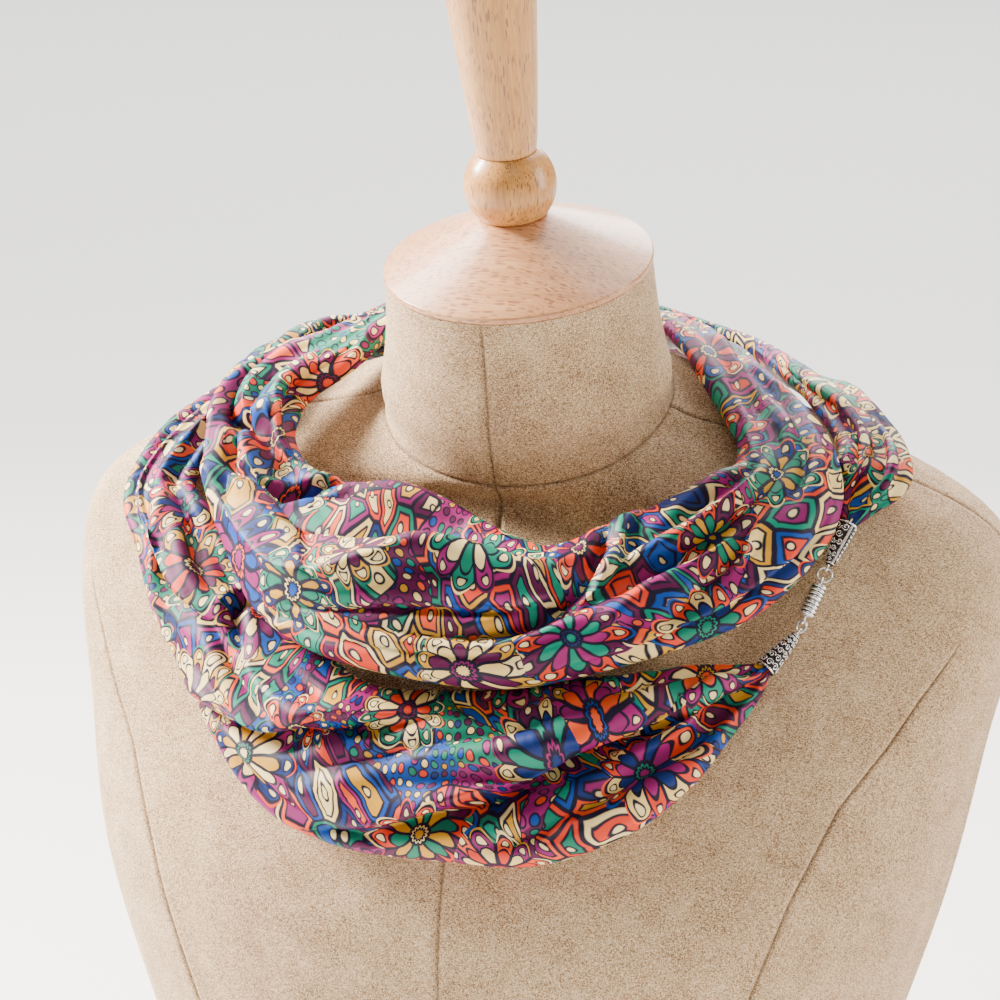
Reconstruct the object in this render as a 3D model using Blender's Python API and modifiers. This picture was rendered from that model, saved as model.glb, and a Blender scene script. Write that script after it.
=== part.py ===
"""Silk scarf with cone end caps and a magnetic clasp, wound twice round a linen dress form.

Metres, +Z up. The form faces -Y and stands on the plane z = 0, centred on the origin.
"""

import math
from collections import namedtuple

import bmesh
import bpy
import numpy as np
from mathutils import Matrix, Vector

MM = 0.001
GAP = 0.3 * MM  # between pieces that touch

FORM_SIDES = 40
FORM_RINGS_PER_ROW = 2
SCARF_RINGS_PER_ROW = 2
OUTER_FACE_POINTS = 15  # across the side of the scarf that shows
INNER_FACE_POINTS = 7  # across the side that lies on the form
WALL = 1.6 * MM  # the silk and its folded-in layers
FULL_FOLD_THICKNESS = 24  # mm: thinner sections take a smaller share of each fold
FOLD_FADE = 0.7  # under 1 keeps a fold deep for longer before it runs out
NORMAL_STEP = 0.02  # stations and radians
TURNED_STEPS = 24
SMALL_STEPS = 14
RING_SEGMENTS = 16
WIRE_SEGMENTS = 6
WELD_DISTANCE = 0.05 * MM
SHARP_ANGLE = math.radians(50)

# The form, from its hem up: heights, centres and half sizes in mm. Its rings tilt forward and roll
# to the form's right, in degrees.
FormRing = namedtuple(
    "FormRing", "height centre tilt half_width front back squareness roll", defaults=(0,)
)
FORM_RINGS = [
    FormRing(0, 4, 0, 168, 104, 112, 2.2),  # hem
    FormRing(55, 2, 0, 166, 104, 108, 2.2),  # hip
    FormRing(120, 0, 0, 150, 98, 98, 2.2),
    FormRing(200, -4, 0, 126, 92, 82, 2.2),  # waist
    FormRing(280, -10, 0, 152, 110, 92, 2.2),
    FormRing(360, -8, 0, 177, 122, 104, 2.3),  # bust
    FormRing(420, 2, 0, 189, 112, 100, 2.4),
    FormRing(472, 8, 3, 199, 88, 90, 2.4),  # shoulder tips
    FormRing(510, 8, 8, 190, 67, 74, 2.3),
    FormRing(535, 2, 16, 140, 56, 62, 2.2),
    FormRing(553, -12, 28, 66, 54, 56, 2.0),  # neck seam
    FormRing(568, -19, 22, 59.5, 54.5, 54, 2.0),
    FormRing(590, -25, 18, 55.5, 53.6, 53, 2.0, 0.7),
    FormRing(612.7, -32, 17, 53.8, 53.8, 53.8, 2.0, 1.3),  # neck top
]
NECK_TOP = FORM_RINGS[-1]

# The turned wood on the neck, heights in mm above the neck top along its tilted axis.
CAP_RIM = 2.4
CAP_TOP = 22.3
CAP_TOP_RADIUS = 13.5
CAP_OVERHANG = 0.6
CAP_EDGE = 0.6  # the rim's rounded edges
BALL_CENTRE = 35.1
BALL_RADIUS = 18.6
BALL_POINTS = 9
HANDLE_FOOT = 49.5
HANDLE_FOOT_RADIUS = 12.0
HANDLE_TOP = 136.9
HANDLE_TOP_RADIUS = 19.2
HANDLE_CROWN = 6.0  # the rounding of its top edge
HANDLE_CROWN_TURNS = (80, 53, 27, 0)  # degrees, from the top face down
HANDLE_FLARE_PARTS = (0.75, 0.5, 0.25, 0)
HANDLE_FLARE_POWER = 0.85  # under 1 swells the flare's lower half
HANDLE_LEAN = -0.9  # degrees to the form's right, with the cap's top face
HANDLE_TIP = -2.2  # degrees forward

# The scarf from its lower cap to its upper cap. A row places one section on the form: turn is
# degrees round from the front, station counts rows of FORM_RINGS, lift is from the form's surface
# to the section's middle, and lean tips its upper edge outward. Lengths in mm.
ScarfRow = namedtuple("ScarfRow", "turn station lift width thickness lean")
SCARF_ROWS = [
    ScarfRow(31.1, 6.93, 5, 5.0, 5.0, 0),  # 0, in the lower cap
    ScarfRow(29.1, 6.79, 6.5, 15, 9, 0),
    ScarfRow(24.9, 6.60, 11, 32, 16, 0),
    ScarfRow(20, 6.37, 15, 51, 22, 0),
    ScarfRow(14, 6.18, 17, 66, 26, 0),
    ScarfRow(7, 6.02, 18, 70, 28, 0),
    ScarfRow(0, 5.98, 18, 67, 28, 0),
    ScarfRow(-7, 5.98, 18, 64, 28, 0),
    ScarfRow(-13, 6.10, 17, 62, 25, 0),
    ScarfRow(-19, 6.36, 16, 57, 24, 0),
    ScarfRow(-26, 6.78, 16, 47, 24, 0),
    ScarfRow(-32, 7.15, 16, 43, 24, 0),
    ScarfRow(-38, 7.60, 15, 37, 21, 0),
    ScarfRow(-48, 8.09, 12, 33, 17, 0),
    ScarfRow(-64, 8.80, 10, 33, 14, 0),
    ScarfRow(-84, 9.23, 11, 35, 14, 8),  # 15, over the right shoulder
    ScarfRow(-106, 9.24, 14, 37, 14, 20),
    ScarfRow(-130, 9.12, 13, 37, 13, 16),
    ScarfRow(-155, 9.20, 10, 36, 12, 4),
    ScarfRow(-180, 9.44, 9, 35, 12, 0),
    ScarfRow(-205, 9.66, 9, 32, 12, 0),
    ScarfRow(-228, 9.72, 9, 32, 13, 0),
    ScarfRow(-248, 9.74, 10, 31, 15, 0),
    ScarfRow(-268, 9.60, 11, 34, 18, 0),  # 23, over the left shoulder
    ScarfRow(-288, 9.38, 14, 37, 22, 0),
    ScarfRow(-309, 9.00, 16, 45, 25, 0),
    ScarfRow(-324, 8.48, 20, 54, 28, 0),
    ScarfRow(-336, 7.86, 22, 60, 30, -4),
    ScarfRow(-344, 7.46, 26, 61, 32, -8),
    ScarfRow(-351, 7.17, 29, 58, 34, -10),
    ScarfRow(-357, 7.08, 31, 66, 36, -12),
    ScarfRow(-364, 7.24, 32, 79, 38, -12),
    ScarfRow(-371, 7.42, 30, 79, 36, -10),
    ScarfRow(-377.5, 7.64, 27, 63, 32, -8),
    ScarfRow(-386, 8.21, 23, 43, 26, -6),
    ScarfRow(-403, 8.98, 20, 36, 19, -10),
    ScarfRow(-424, 9.34, 21, 38, 16, -14),
    ScarfRow(-440, 9.56, 22, 36, 15, -14),  # 37, over the right shoulder again
    ScarfRow(-454, 9.76, 20, 34, 13, -10),
    ScarfRow(-477, 9.88, 17, 32, 12, -2),
    ScarfRow(-512, 9.66, 22, 31, 11, 0),
    ScarfRow(-540, 9.34, 22, 33, 11, 0),
    ScarfRow(-568, 9.05, 16, 30, 11, 0),
    ScarfRow(-592, 9.18, 9.5, 27, 12, 0),
    ScarfRow(-612, 9.20, 10, 28, 14, 0),
    ScarfRow(-632, 9.06, 10.5, 29, 16, 0),
    ScarfRow(-650, 8.84, 12, 30, 17, 0),
    ScarfRow(-661.5, 8.67, 7.5, 16, 11, 0),
    ScarfRow(-669.5, 8.44, 5, 5.0, 5.0, 0),  # 48, in the upper cap
]
# Each stretch runs from one row to another, and stretches meet at a seam.
STRETCHES = [
    ("scarf_lower_swag", 0, 15),
    ("scarf_back_lower", 15, 23),
    ("scarf_upper_swag", 23, 37),
    ("scarf_tail", 37, 48),
]

# The largest folds of the side that shows. They run from one row to another, and from one place
# across to another, -1 at the lower edge and 1 at the upper one. A trough has a negative rise.
Fold = namedtuple("Fold", "first last across_first across_last rise breadth")
FOLDS = [
    Fold(0.5, 7, 0.50, -0.25, -8, 0.24),
    Fold(1, 6.5, 0.85, 0.20, 4, 0.24),
    Fold(1, 6, -0.45, -0.35, -4, 0.22),
    Fold(4, 8.5, -0.60, -0.65, -3, 0.22),
    Fold(7, 10.5, 0.45, -0.70, 5, 0.24),
    Fold(7.5, 11, 0.15, -0.98, -5, 0.24),
    Fold(9.5, 12, 0.75, 0.55, -8, 0.26),
    Fold(10.5, 17, -0.30, 0.05, -5, 0.24),
    Fold(12, 19, 0.55, 0.60, -3, 0.22),
    Fold(16, 24, -0.35, -0.20, -4, 0.24),
    Fold(18, 27.5, 0.35, 0.50, -5, 0.24),
    Fold(23.5, 29, -0.72, -0.78, -4, 0.22),
    Fold(24, 31, -0.05, -0.15, -4, 0.24),
    Fold(27, 29.5, 0.85, 0.10, -5, 0.24),
    Fold(29, 35.5, 0.80, 0.45, -11, 0.28),
    Fold(29, 36, 0.35, -0.05, 4, 0.24),
    Fold(30, 35, -0.50, -0.65, -4, 0.24),
    Fold(34, 40, -0.35, -0.15, -4, 0.24),
    Fold(35.5, 43, 0.40, 0.35, -4, 0.24),
    Fold(40, 45, -0.35, -0.45, -3, 0.24),
    Fold(42, 47.6, 0.25, 0.00, -7, 0.26),
]

# The chain between the caps, in mm.
CONE_LENGTH = 18.5
CONE_MOUTH_RADIUS = 4.3
CONE_TIP_RADIUS = 1.8
CONE_WALL = 0.6
CONE_DEPTH = 5.0  # of the mouth that takes the gathered silk
CONE_TIP_FLAT = 0.7  # share of the tip's radius
CONE_TIP_EDGE = 0.5
CONE_SWELL = 0.2  # how far its side bulges half way up
CONE_RIM = 0.8
SILK_IN_CONE = 0.7
EYE_RADIUS = 1.7
EYE_WIRE = 0.45
RING_RADIUS = 2.9
RING_WIRE = 0.5
LINK_RADIUS = 2.5
CLASP_RADIUS = 3.6
CLASP_GROOVE = 0.5
CLASP_RIBS = 4  # on each half
CLASP_END = 0.8  # plain collar beyond the ribs
CLASP_END_FLAT = 0.55  # share of the radius
CLASP_END_CHAMFER = (0.4, 0.5)  # inward and along
CLASP_FACE_CHAMFER = 0.2
RIB_SHARES = (0.25, 0.6, 0.9)  # of a rib's pitch: where its top starts, ends, and its groove
EYE_SINK = 0.2  # how deep an eye is set in the cone's tip
CHAIN_LIFT = 4.6
CHAIN_UPPER = (41.3, 7.98)  # turn and station of the upper cap's tip
CHAIN_LOWER = (34.6, 7.21)  # turn and station of the lower cap's tip

LINEN = ("linen", (0.62, 0.52, 0.40, 1), 0.9, 0)
BEECH = ("beech", (0.80, 0.58, 0.40, 1), 0.45, 0)
SILK = ("printed silk", (0.22, 0.12, 0.28, 1), 0.45, 0)
SILVER = ("antique silver", (0.70, 0.68, 0.66, 1), 0.3, 1)


def ease(rows, place):
    """The rows' values at a place between them, on a smooth curve through them all."""
    last = len(rows) - 1
    index = min(max(int(place), 0), last - 1)
    part = place - index
    before, start, end, after = (
        np.asarray(rows[min(max(index + step, 0), last)], float) for step in (-1, 0, 1, 2)
    )
    return start + 0.5 * part * (
        end - before
        + part * (2 * before - 5 * start + 4 * end - after)
        + part * part * (3 * start - before - 3 * end + after)
    )


def form_point(station, turn):
    """A point of the form's surface."""
    ring = FormRing(*ease(FORM_RINGS, station))
    side, ahead = math.sin(turn), math.cos(turn)
    power = 2 / ring.squareness
    across = ring.half_width * math.copysign(abs(side) ** power, side)
    reach = ring.front if ahead > 0 else ring.back
    forward = reach * math.copysign(abs(ahead) ** power, ahead)
    tilt, roll = math.radians(ring.tilt), math.radians(ring.roll)
    rise = across * math.sin(roll)
    return MM * np.array(
        [
            across * math.cos(roll),
            ring.centre - forward * math.cos(tilt) - rise * math.sin(tilt),
            ring.height - forward * math.sin(tilt) + rise * math.cos(tilt),
        ]
    )


def form_normal(station, turn):
    """The form's outward direction there."""
    round_it = form_point(station, turn + NORMAL_STEP) - form_point(station, turn - NORMAL_STEP)
    upper = min(station + NORMAL_STEP, len(FORM_RINGS) - 1)
    up_it = form_point(upper, turn) - form_point(max(station - NORMAL_STEP, 0), turn)
    outward = np.cross(round_it, up_it)
    return outward / np.linalg.norm(outward)


def above_form(turn, station, lift):
    """A point that far out from the form, with the turn in degrees and the lift in mm."""
    angle = math.radians(turn)
    return form_point(station, angle) + lift * MM * form_normal(station, angle)


def unit(vectors):
    return vectors / np.linalg.norm(vectors, axis=-1, keepdims=True)


def fold_height(place, across):
    """How far the folds raise the outer face there, in mm."""
    height = 0.0
    for fold in FOLDS:
        along = (place - fold.first) / (fold.last - fold.first)
        if not 0 < along < 1:
            continue
        middle = fold.across_first + along * (fold.across_last - fold.across_first)
        fade = math.sin(math.pi * along) ** FOLD_FADE
        height += fold.rise * fade * math.exp(-(((across - middle) / fold.breadth) ** 2))
    return height


def section_outline(place, width, thickness):
    """The section's outline in its own plane: x across towards the upper edge, y outward."""
    outer = np.linspace(0, math.pi, OUTER_FACE_POINTS, endpoint=False)
    inner = np.linspace(math.pi, 2 * math.pi, INNER_FACE_POINTS, endpoint=False)
    share = min(thickness / FULL_FOLD_THICKNESS, 1)
    points = []
    for angle in np.concatenate([outer, inner]):
        across, out = math.cos(angle), math.sin(angle)
        fold = fold_height(place, across) * max(out, 0) * share
        points.append((across * width / 2, out * thickness / 2 + fold))
    return np.array(points) * MM


def inset(outline, distance):
    """The outline moved inward by the wall's thickness."""
    along = unit(np.roll(outline, -1, axis=0) - np.roll(outline, 1, axis=0))
    return outline + distance * np.stack([-along[:, 1], along[:, 0]], axis=1)


def scarf_rings(first, last):
    """The outer and inner rings of one stretch of the scarf, each ring a loop of points."""
    count = len(SCARF_ROWS) - 1
    places = np.linspace(0, count, count * SCARF_RINGS_PER_ROW + 1)
    middles = [above_form(row.turn, row.station, row.lift) for row in SCARF_ROWS]
    normals = [form_normal(row.station, math.radians(row.turn)) for row in SCARF_ROWS]
    path = np.array([ease(middles, place) for place in places])
    ahead = unit(np.gradient(path, axis=0))
    outer, inner = [], []
    start, stop = first * SCARF_RINGS_PER_ROW, last * SCARF_RINGS_PER_ROW
    for index in range(start, stop + 1):
        row = ScarfRow(*ease(SCARF_ROWS, places[index]))
        outward = ease(normals, places[index])
        outward = unit(outward - ahead[index] * np.dot(outward, ahead[index]))
        upper = np.cross(ahead[index], outward)
        lean = math.radians(row.lean)
        across = upper * math.cos(lean) + outward * math.sin(lean)
        out = outward * math.cos(lean) - upper * math.sin(lean)
        middle = path[index]
        if index == start and first > 0:
            middle = middle + ahead[index] * GAP / 2
        if index == stop and last < count:
            middle = middle - ahead[index] * GAP / 2
        outline = section_outline(places[index], row.width, row.thickness)
        for rings, shape in ((outer, outline), (inner, inset(outline, WALL))):
            rings.append(middle + shape[:, :1] * across + shape[:, 1:] * out)
    return outer, inner


def new_object(name, mesh, material):
    obj = bpy.data.objects.new(name, mesh)
    mesh.materials.append(materials[material[0]])
    parts.objects.link(obj)
    return obj


def loft(name, rings, material, wrapped):
    """A closed solid through the rings. Wrapped joins the last ring to the first."""
    mesh = bpy.data.meshes.new(name)
    work = bmesh.new()
    loops = [[work.verts.new(point) for point in ring] for ring in rings]
    pairs = list(zip(loops, loops[1:]))
    if wrapped:
        pairs.append((loops[-1], loops[0]))
    else:
        work.faces.new(loops[0])
        work.faces.new(loops[-1])
    sides = len(loops[0])
    for lower, upper in pairs:
        for side in range(sides):
            after = (side + 1) % sides
            work.faces.new((lower[side], lower[after], upper[after], upper[side]))
    bmesh.ops.recalc_face_normals(work, faces=work.faces)
    work.to_mesh(mesh)
    work.free()
    mesh.shade_smooth()
    mesh.set_sharp_from_angle(angle=SHARP_ANGLE)
    return new_object(name, mesh, material)


def make_torso():
    """The padded linen body, from its flat underside to the flat top of its neck."""
    last = len(FORM_RINGS) - 1
    turns = np.linspace(0, 2 * math.pi, FORM_SIDES, endpoint=False)
    stations = np.linspace(0, last, last * FORM_RINGS_PER_ROW + 1)
    rings = [[form_point(station, turn) for turn in turns] for station in stations]
    return loft("form_torso", rings, LINEN, wrapped=False)


def make_scarf():
    for name, first, last in STRETCHES:
        outer, inner = scarf_rings(first, last)
        loft(name, outer + inner[::-1], SILK, wrapped=True)


def turned(name, profile, material, steps, place):
    """A turned piece. The profile's (radius, height) points run down its outer side, in mm."""
    mesh = bpy.data.meshes.new(name)
    points = [(radius * MM, 0, height * MM) for radius, height in profile]
    edges = [(index, index + 1) for index in range(len(points) - 1)]
    mesh.from_pydata(points, edges, [])
    obj = new_object(name, mesh, material)
    obj.matrix_world = place
    screw = obj.modifiers.new("Turn", "SCREW")
    screw.steps = screw.render_steps = steps
    screw.use_merge_vertices = True
    screw.merge_threshold = WELD_DISTANCE
    screw.use_smooth_shade = True
    return obj


def make_wood():
    """The beech cap on the neck, its ball and its handle, all turned on the neck's axis."""
    tilt = Matrix.Rotation(math.radians(NECK_TOP.tilt), 4, "X")
    roll = Matrix.Rotation(math.radians(-NECK_TOP.roll), 4, "Y")
    foot = Vector((0, NECK_TOP.centre, NECK_TOP.height)) * MM
    place = Matrix.Translation(foot) @ tilt @ roll
    gap = GAP / MM
    rim = NECK_TOP.half_width + CAP_OVERHANG
    lean = Matrix.Rotation(math.radians(HANDLE_TIP), 4, "X")
    lean = lean @ Matrix.Rotation(math.radians(HANDLE_LEAN), 4, "Y")
    cap = [
        (rim - CAP_EDGE, gap),
        (rim, gap + CAP_EDGE),
        (rim, CAP_RIM),
        (rim - 2 * CAP_EDGE, CAP_RIM + CAP_EDGE),
        (CAP_TOP_RADIUS, CAP_TOP),
    ]
    turns = np.linspace(0, 2 * math.pi, TURNED_STEPS * 2, endpoint=False)
    rings = []
    for radius, height in cap:
        # The cap sits square on the neck, and its top face leans with the handle.
        leaned = place @ lean if height == CAP_TOP else place
        ring = [Vector((radius * math.cos(turn), radius * math.sin(turn), height)) for turn in turns]
        rings.append([leaned @ (point * MM) for point in ring])
    loft("form_neck_cap", rings, BEECH, wrapped=False)
    place = place @ lean
    ball_foot = math.asin((BALL_CENTRE - CAP_TOP - gap) / BALL_RADIUS)
    ball_top = math.asin((HANDLE_FOOT - gap - BALL_CENTRE) / BALL_RADIUS)
    ball = [(0, HANDLE_FOOT - gap)]
    for angle in np.linspace(ball_top, -ball_foot, BALL_POINTS):
        ball.append((BALL_RADIUS * math.cos(angle), BALL_CENTRE + BALL_RADIUS * math.sin(angle)))
    ball.append((0, CAP_TOP + gap))
    turned("form_ball", ball, BEECH, TURNED_STEPS, place)
    handle = [(0, HANDLE_TOP)]
    for angle in HANDLE_CROWN_TURNS:
        bend = math.radians(angle)
        radius = HANDLE_TOP_RADIUS - HANDLE_CROWN * (1 - math.cos(bend))
        handle.append((radius, HANDLE_TOP - HANDLE_CROWN * (1 - math.sin(bend))))
    rise = HANDLE_TOP - HANDLE_CROWN - HANDLE_FOOT
    flare = HANDLE_TOP_RADIUS - HANDLE_FOOT_RADIUS
    for part in HANDLE_FLARE_PARTS:
        radius = HANDLE_FOOT_RADIUS + flare * part**HANDLE_FLARE_POWER
        handle.append((radius, HANDLE_FOOT + rise * part))
    handle.append((0, HANDLE_FOOT))
    turned("form_handle", handle, BEECH, TURNED_STEPS, place)


def frame_at(origin, axis, up):
    """A place whose +Z runs along the axis, with +X as near to up as it can be."""
    z = Vector(axis).normalized()
    x = (Vector(up) - z * z.dot(Vector(up))).normalized()
    y = z.cross(x)
    turn = Matrix((x, y, z)).transposed().to_4x4()
    return Matrix.Translation(Vector(origin)) @ turn


def torus_mesh(radius, wire):
    """A ring of round wire in mm, lying in its own XZ plane."""
    bpy.ops.mesh.primitive_torus_add(
        major_radius=radius * MM,
        minor_radius=wire * MM,
        major_segments=RING_SEGMENTS,
        minor_segments=WIRE_SEGMENTS,
        rotation=(math.pi / 2, 0, 0),
    )
    obj = bpy.context.object
    mesh = obj.data
    mesh.transform(obj.matrix_basis)
    bpy.data.objects.remove(obj)
    return mesh


def add_ring(name, radius, wire, place):
    mesh = torus_mesh(radius, wire)
    mesh.name = name
    mesh.shade_smooth()
    obj = new_object(name, mesh, SILVER)
    obj.matrix_world = place
    return obj


def join_eye(body, tip, face):
    """Adds an eye to the end of a turned piece. Face turns the eye about the piece's axis."""
    place = body.matrix_world @ Matrix.Translation((0, 0, tip * MM))
    place = place @ Matrix.Rotation(face, 4, "Z")
    mesh = torus_mesh(EYE_RADIUS, EYE_WIRE)
    eye = bpy.data.objects.new(body.name + "_eye", mesh)
    eye.matrix_world = place
    eye.hide_render = True
    eye.display_type = "WIRE"
    helpers.objects.link(eye)
    union = body.modifiers.new("Eye", "BOOLEAN")
    union.operation = "UNION"
    union.object = eye


def cone_profile():
    """The cone cap: its tip at +Z, and a round mouth that takes the scarf's gathered end."""
    slope = (CONE_MOUTH_RADIUS - CONE_TIP_RADIUS) / CONE_LENGTH
    inside = CONE_MOUTH_RADIUS - CONE_WALL
    return [
        (0, CONE_LENGTH),
        (CONE_TIP_RADIUS * CONE_TIP_FLAT, CONE_LENGTH),
        (CONE_TIP_RADIUS, CONE_LENGTH - CONE_TIP_EDGE),
        (CONE_TIP_RADIUS + slope * CONE_LENGTH / 2 + CONE_SWELL, CONE_LENGTH / 2),
        (CONE_MOUTH_RADIUS, CONE_RIM),
        (CONE_MOUTH_RADIUS, 0),
        (inside, 0),
        (inside - slope * CONE_DEPTH, CONE_DEPTH),
        (0, CONE_DEPTH),
    ]


def clasp_profile(half):
    """Half of the barrel clasp, ribbed all round, with its flat magnet face at the bottom."""
    rib = (half - CLASP_END) / CLASP_RIBS
    inward, along = CLASP_END_CHAMFER
    starts, ends, groove = RIB_SHARES
    face = GAP / MM / 2
    profile = [(0, half), (CLASP_RADIUS * CLASP_END_FLAT, half), (CLASP_RADIUS - inward, half - along)]
    for index in range(CLASP_RIBS):
        top = half - CLASP_END - rib * index
        profile.append((CLASP_RADIUS, top - rib * starts))
        profile.append((CLASP_RADIUS, top - rib * ends))
        if index < CLASP_RIBS - 1:
            profile.append((CLASP_RADIUS - CLASP_GROOVE, top - rib * groove))
    profile += [(CLASP_RADIUS - CLASP_FACE_CHAMFER, face), (0, face)]
    return profile


def make_chain():
    """Both cone caps and what joins them: a jump ring, the two clasp halves and a link."""
    ends = {"upper": SCARF_ROWS[-1], "lower": SCARF_ROWS[0]}
    tips = {"upper": CHAIN_UPPER, "lower": CHAIN_LOWER}
    joints = {}
    for side, row in ends.items():
        silk = Vector(above_form(row.turn, row.station, row.lift))
        tip = Vector(above_form(*tips[side], CHAIN_LIFT))
        out = form_normal(row.station, math.radians(row.turn))
        axis = (tip - silk).normalized()
        mouth = silk - axis * SILK_IN_CONE * MM
        place = frame_at(mouth, axis, out)
        cone = turned("end_cap_" + side, cone_profile(), SILVER, SMALL_STEPS, place)
        reach = CONE_LENGTH + EYE_RADIUS - EYE_SINK
        join_eye(cone, reach, 0)
        joints[side] = place @ Vector((0, 0, reach * MM))
    upper, lower = joints["upper"], joints["lower"]
    line = (lower - upper).normalized()
    out = Vector(form_normal(CHAIN_UPPER[1], math.radians(CHAIN_UPPER[0])))
    flat = line.cross(out)
    # A ring's wire passes through the middle of each eye that hangs on it.
    add_ring("jump_ring", RING_RADIUS, RING_WIRE, frame_at(upper + line * RING_RADIUS * MM, line, flat))
    add_ring("oval_link", LINK_RADIUS, RING_WIRE, frame_at(lower - line * LINK_RADIUS * MM, line, flat))
    first_eye = upper + line * 2 * RING_RADIUS * MM
    last_eye = lower - line * 2 * LINK_RADIUS * MM
    middle = (first_eye + last_eye) / 2
    room = (last_eye - first_eye).length / MM / 2
    profile = clasp_profile(room - EYE_RADIUS + EYE_WIRE / 2)
    for side, way in (("upper", -1), ("lower", 1)):
        place = frame_at(middle, line * way, out)
        body = turned("clasp_" + side, profile, SILVER, SMALL_STEPS, place)
        join_eye(body, room, 0)


def make_materials():
    found = {}
    for name, colour, roughness, metallic in (LINEN, BEECH, SILK, SILVER):
        material = bpy.data.materials.new(name)
        material.use_nodes = True
        shader = material.node_tree.nodes["Principled BSDF"]
        shader.inputs["Base Color"].default_value = colour
        shader.inputs["Roughness"].default_value = roughness
        shader.inputs["Metallic"].default_value = metallic
        found[name] = material
    return found


for old in list(bpy.data.objects):
    bpy.data.objects.remove(old)
parts = bpy.data.collections.new("scarf_on_dress_form")
helpers = bpy.data.collections.new("cutters")
bpy.context.scene.collection.children.link(parts)
bpy.context.scene.collection.children.link(helpers)
materials = make_materials()
make_torso()
make_wood()
make_scarf()
make_chain()
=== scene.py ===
import math
from collections import namedtuple
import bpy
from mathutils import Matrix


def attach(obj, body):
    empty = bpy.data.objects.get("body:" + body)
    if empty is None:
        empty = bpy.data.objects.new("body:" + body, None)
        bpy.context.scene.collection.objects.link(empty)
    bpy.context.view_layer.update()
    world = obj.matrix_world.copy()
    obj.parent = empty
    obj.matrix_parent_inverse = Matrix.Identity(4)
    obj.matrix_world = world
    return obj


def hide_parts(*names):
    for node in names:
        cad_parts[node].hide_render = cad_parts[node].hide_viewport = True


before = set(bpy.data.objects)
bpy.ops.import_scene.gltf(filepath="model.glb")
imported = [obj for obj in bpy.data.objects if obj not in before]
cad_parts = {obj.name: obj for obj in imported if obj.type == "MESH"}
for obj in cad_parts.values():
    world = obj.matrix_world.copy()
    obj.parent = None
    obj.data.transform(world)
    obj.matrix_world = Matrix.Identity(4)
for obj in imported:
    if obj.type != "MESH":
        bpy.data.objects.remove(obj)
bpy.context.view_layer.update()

from types import SimpleNamespace

import bpy
import numpy as np
from mathutils import Matrix, Vector

mm = 0.001

# The form, from its hem up, in mm. Its rings tilt forward and roll to its right, in degrees
formRing = namedtuple("formRing", "height centre tilt halfWidth front back squareness roll", defaults=(0,))
formRings = [formRing(*row) for row in (
    (0, 4, 0, 168, 104, 112, 2.2),  # hem
    (55, 2, 0, 166, 104, 108, 2.2),  # hip
    (120, 0, 0, 150, 98, 98, 2.2),
    (200, -4, 0, 126, 92, 82, 2.2),  # waist
    (280, -10, 0, 152, 110, 92, 2.2),
    (360, -8, 0, 177, 122, 104, 2.3),  # bust
    (420, 2, 0, 189, 112, 100, 2.4),
    (472, 8, 3, 199, 88, 90, 2.4),  # shoulder tips
    (510, 8, 8, 190, 67, 74, 2.3),
    (535, 2, 16, 140, 56, 62, 2.2),
    (553, -12, 28, 66, 54, 56, 2.0),  # neck seam
    (568, -19, 22, 59.5, 54.5, 54, 2.0),
    (590, -25, 18, 55.5, 53.6, 53, 2.0, 0.7),
    (612.7, -32, 17, 53.8, 53.8, 53.8, 2.0, 1.3),  # neck top
)]
neckTop = formRings[-1]

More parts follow.
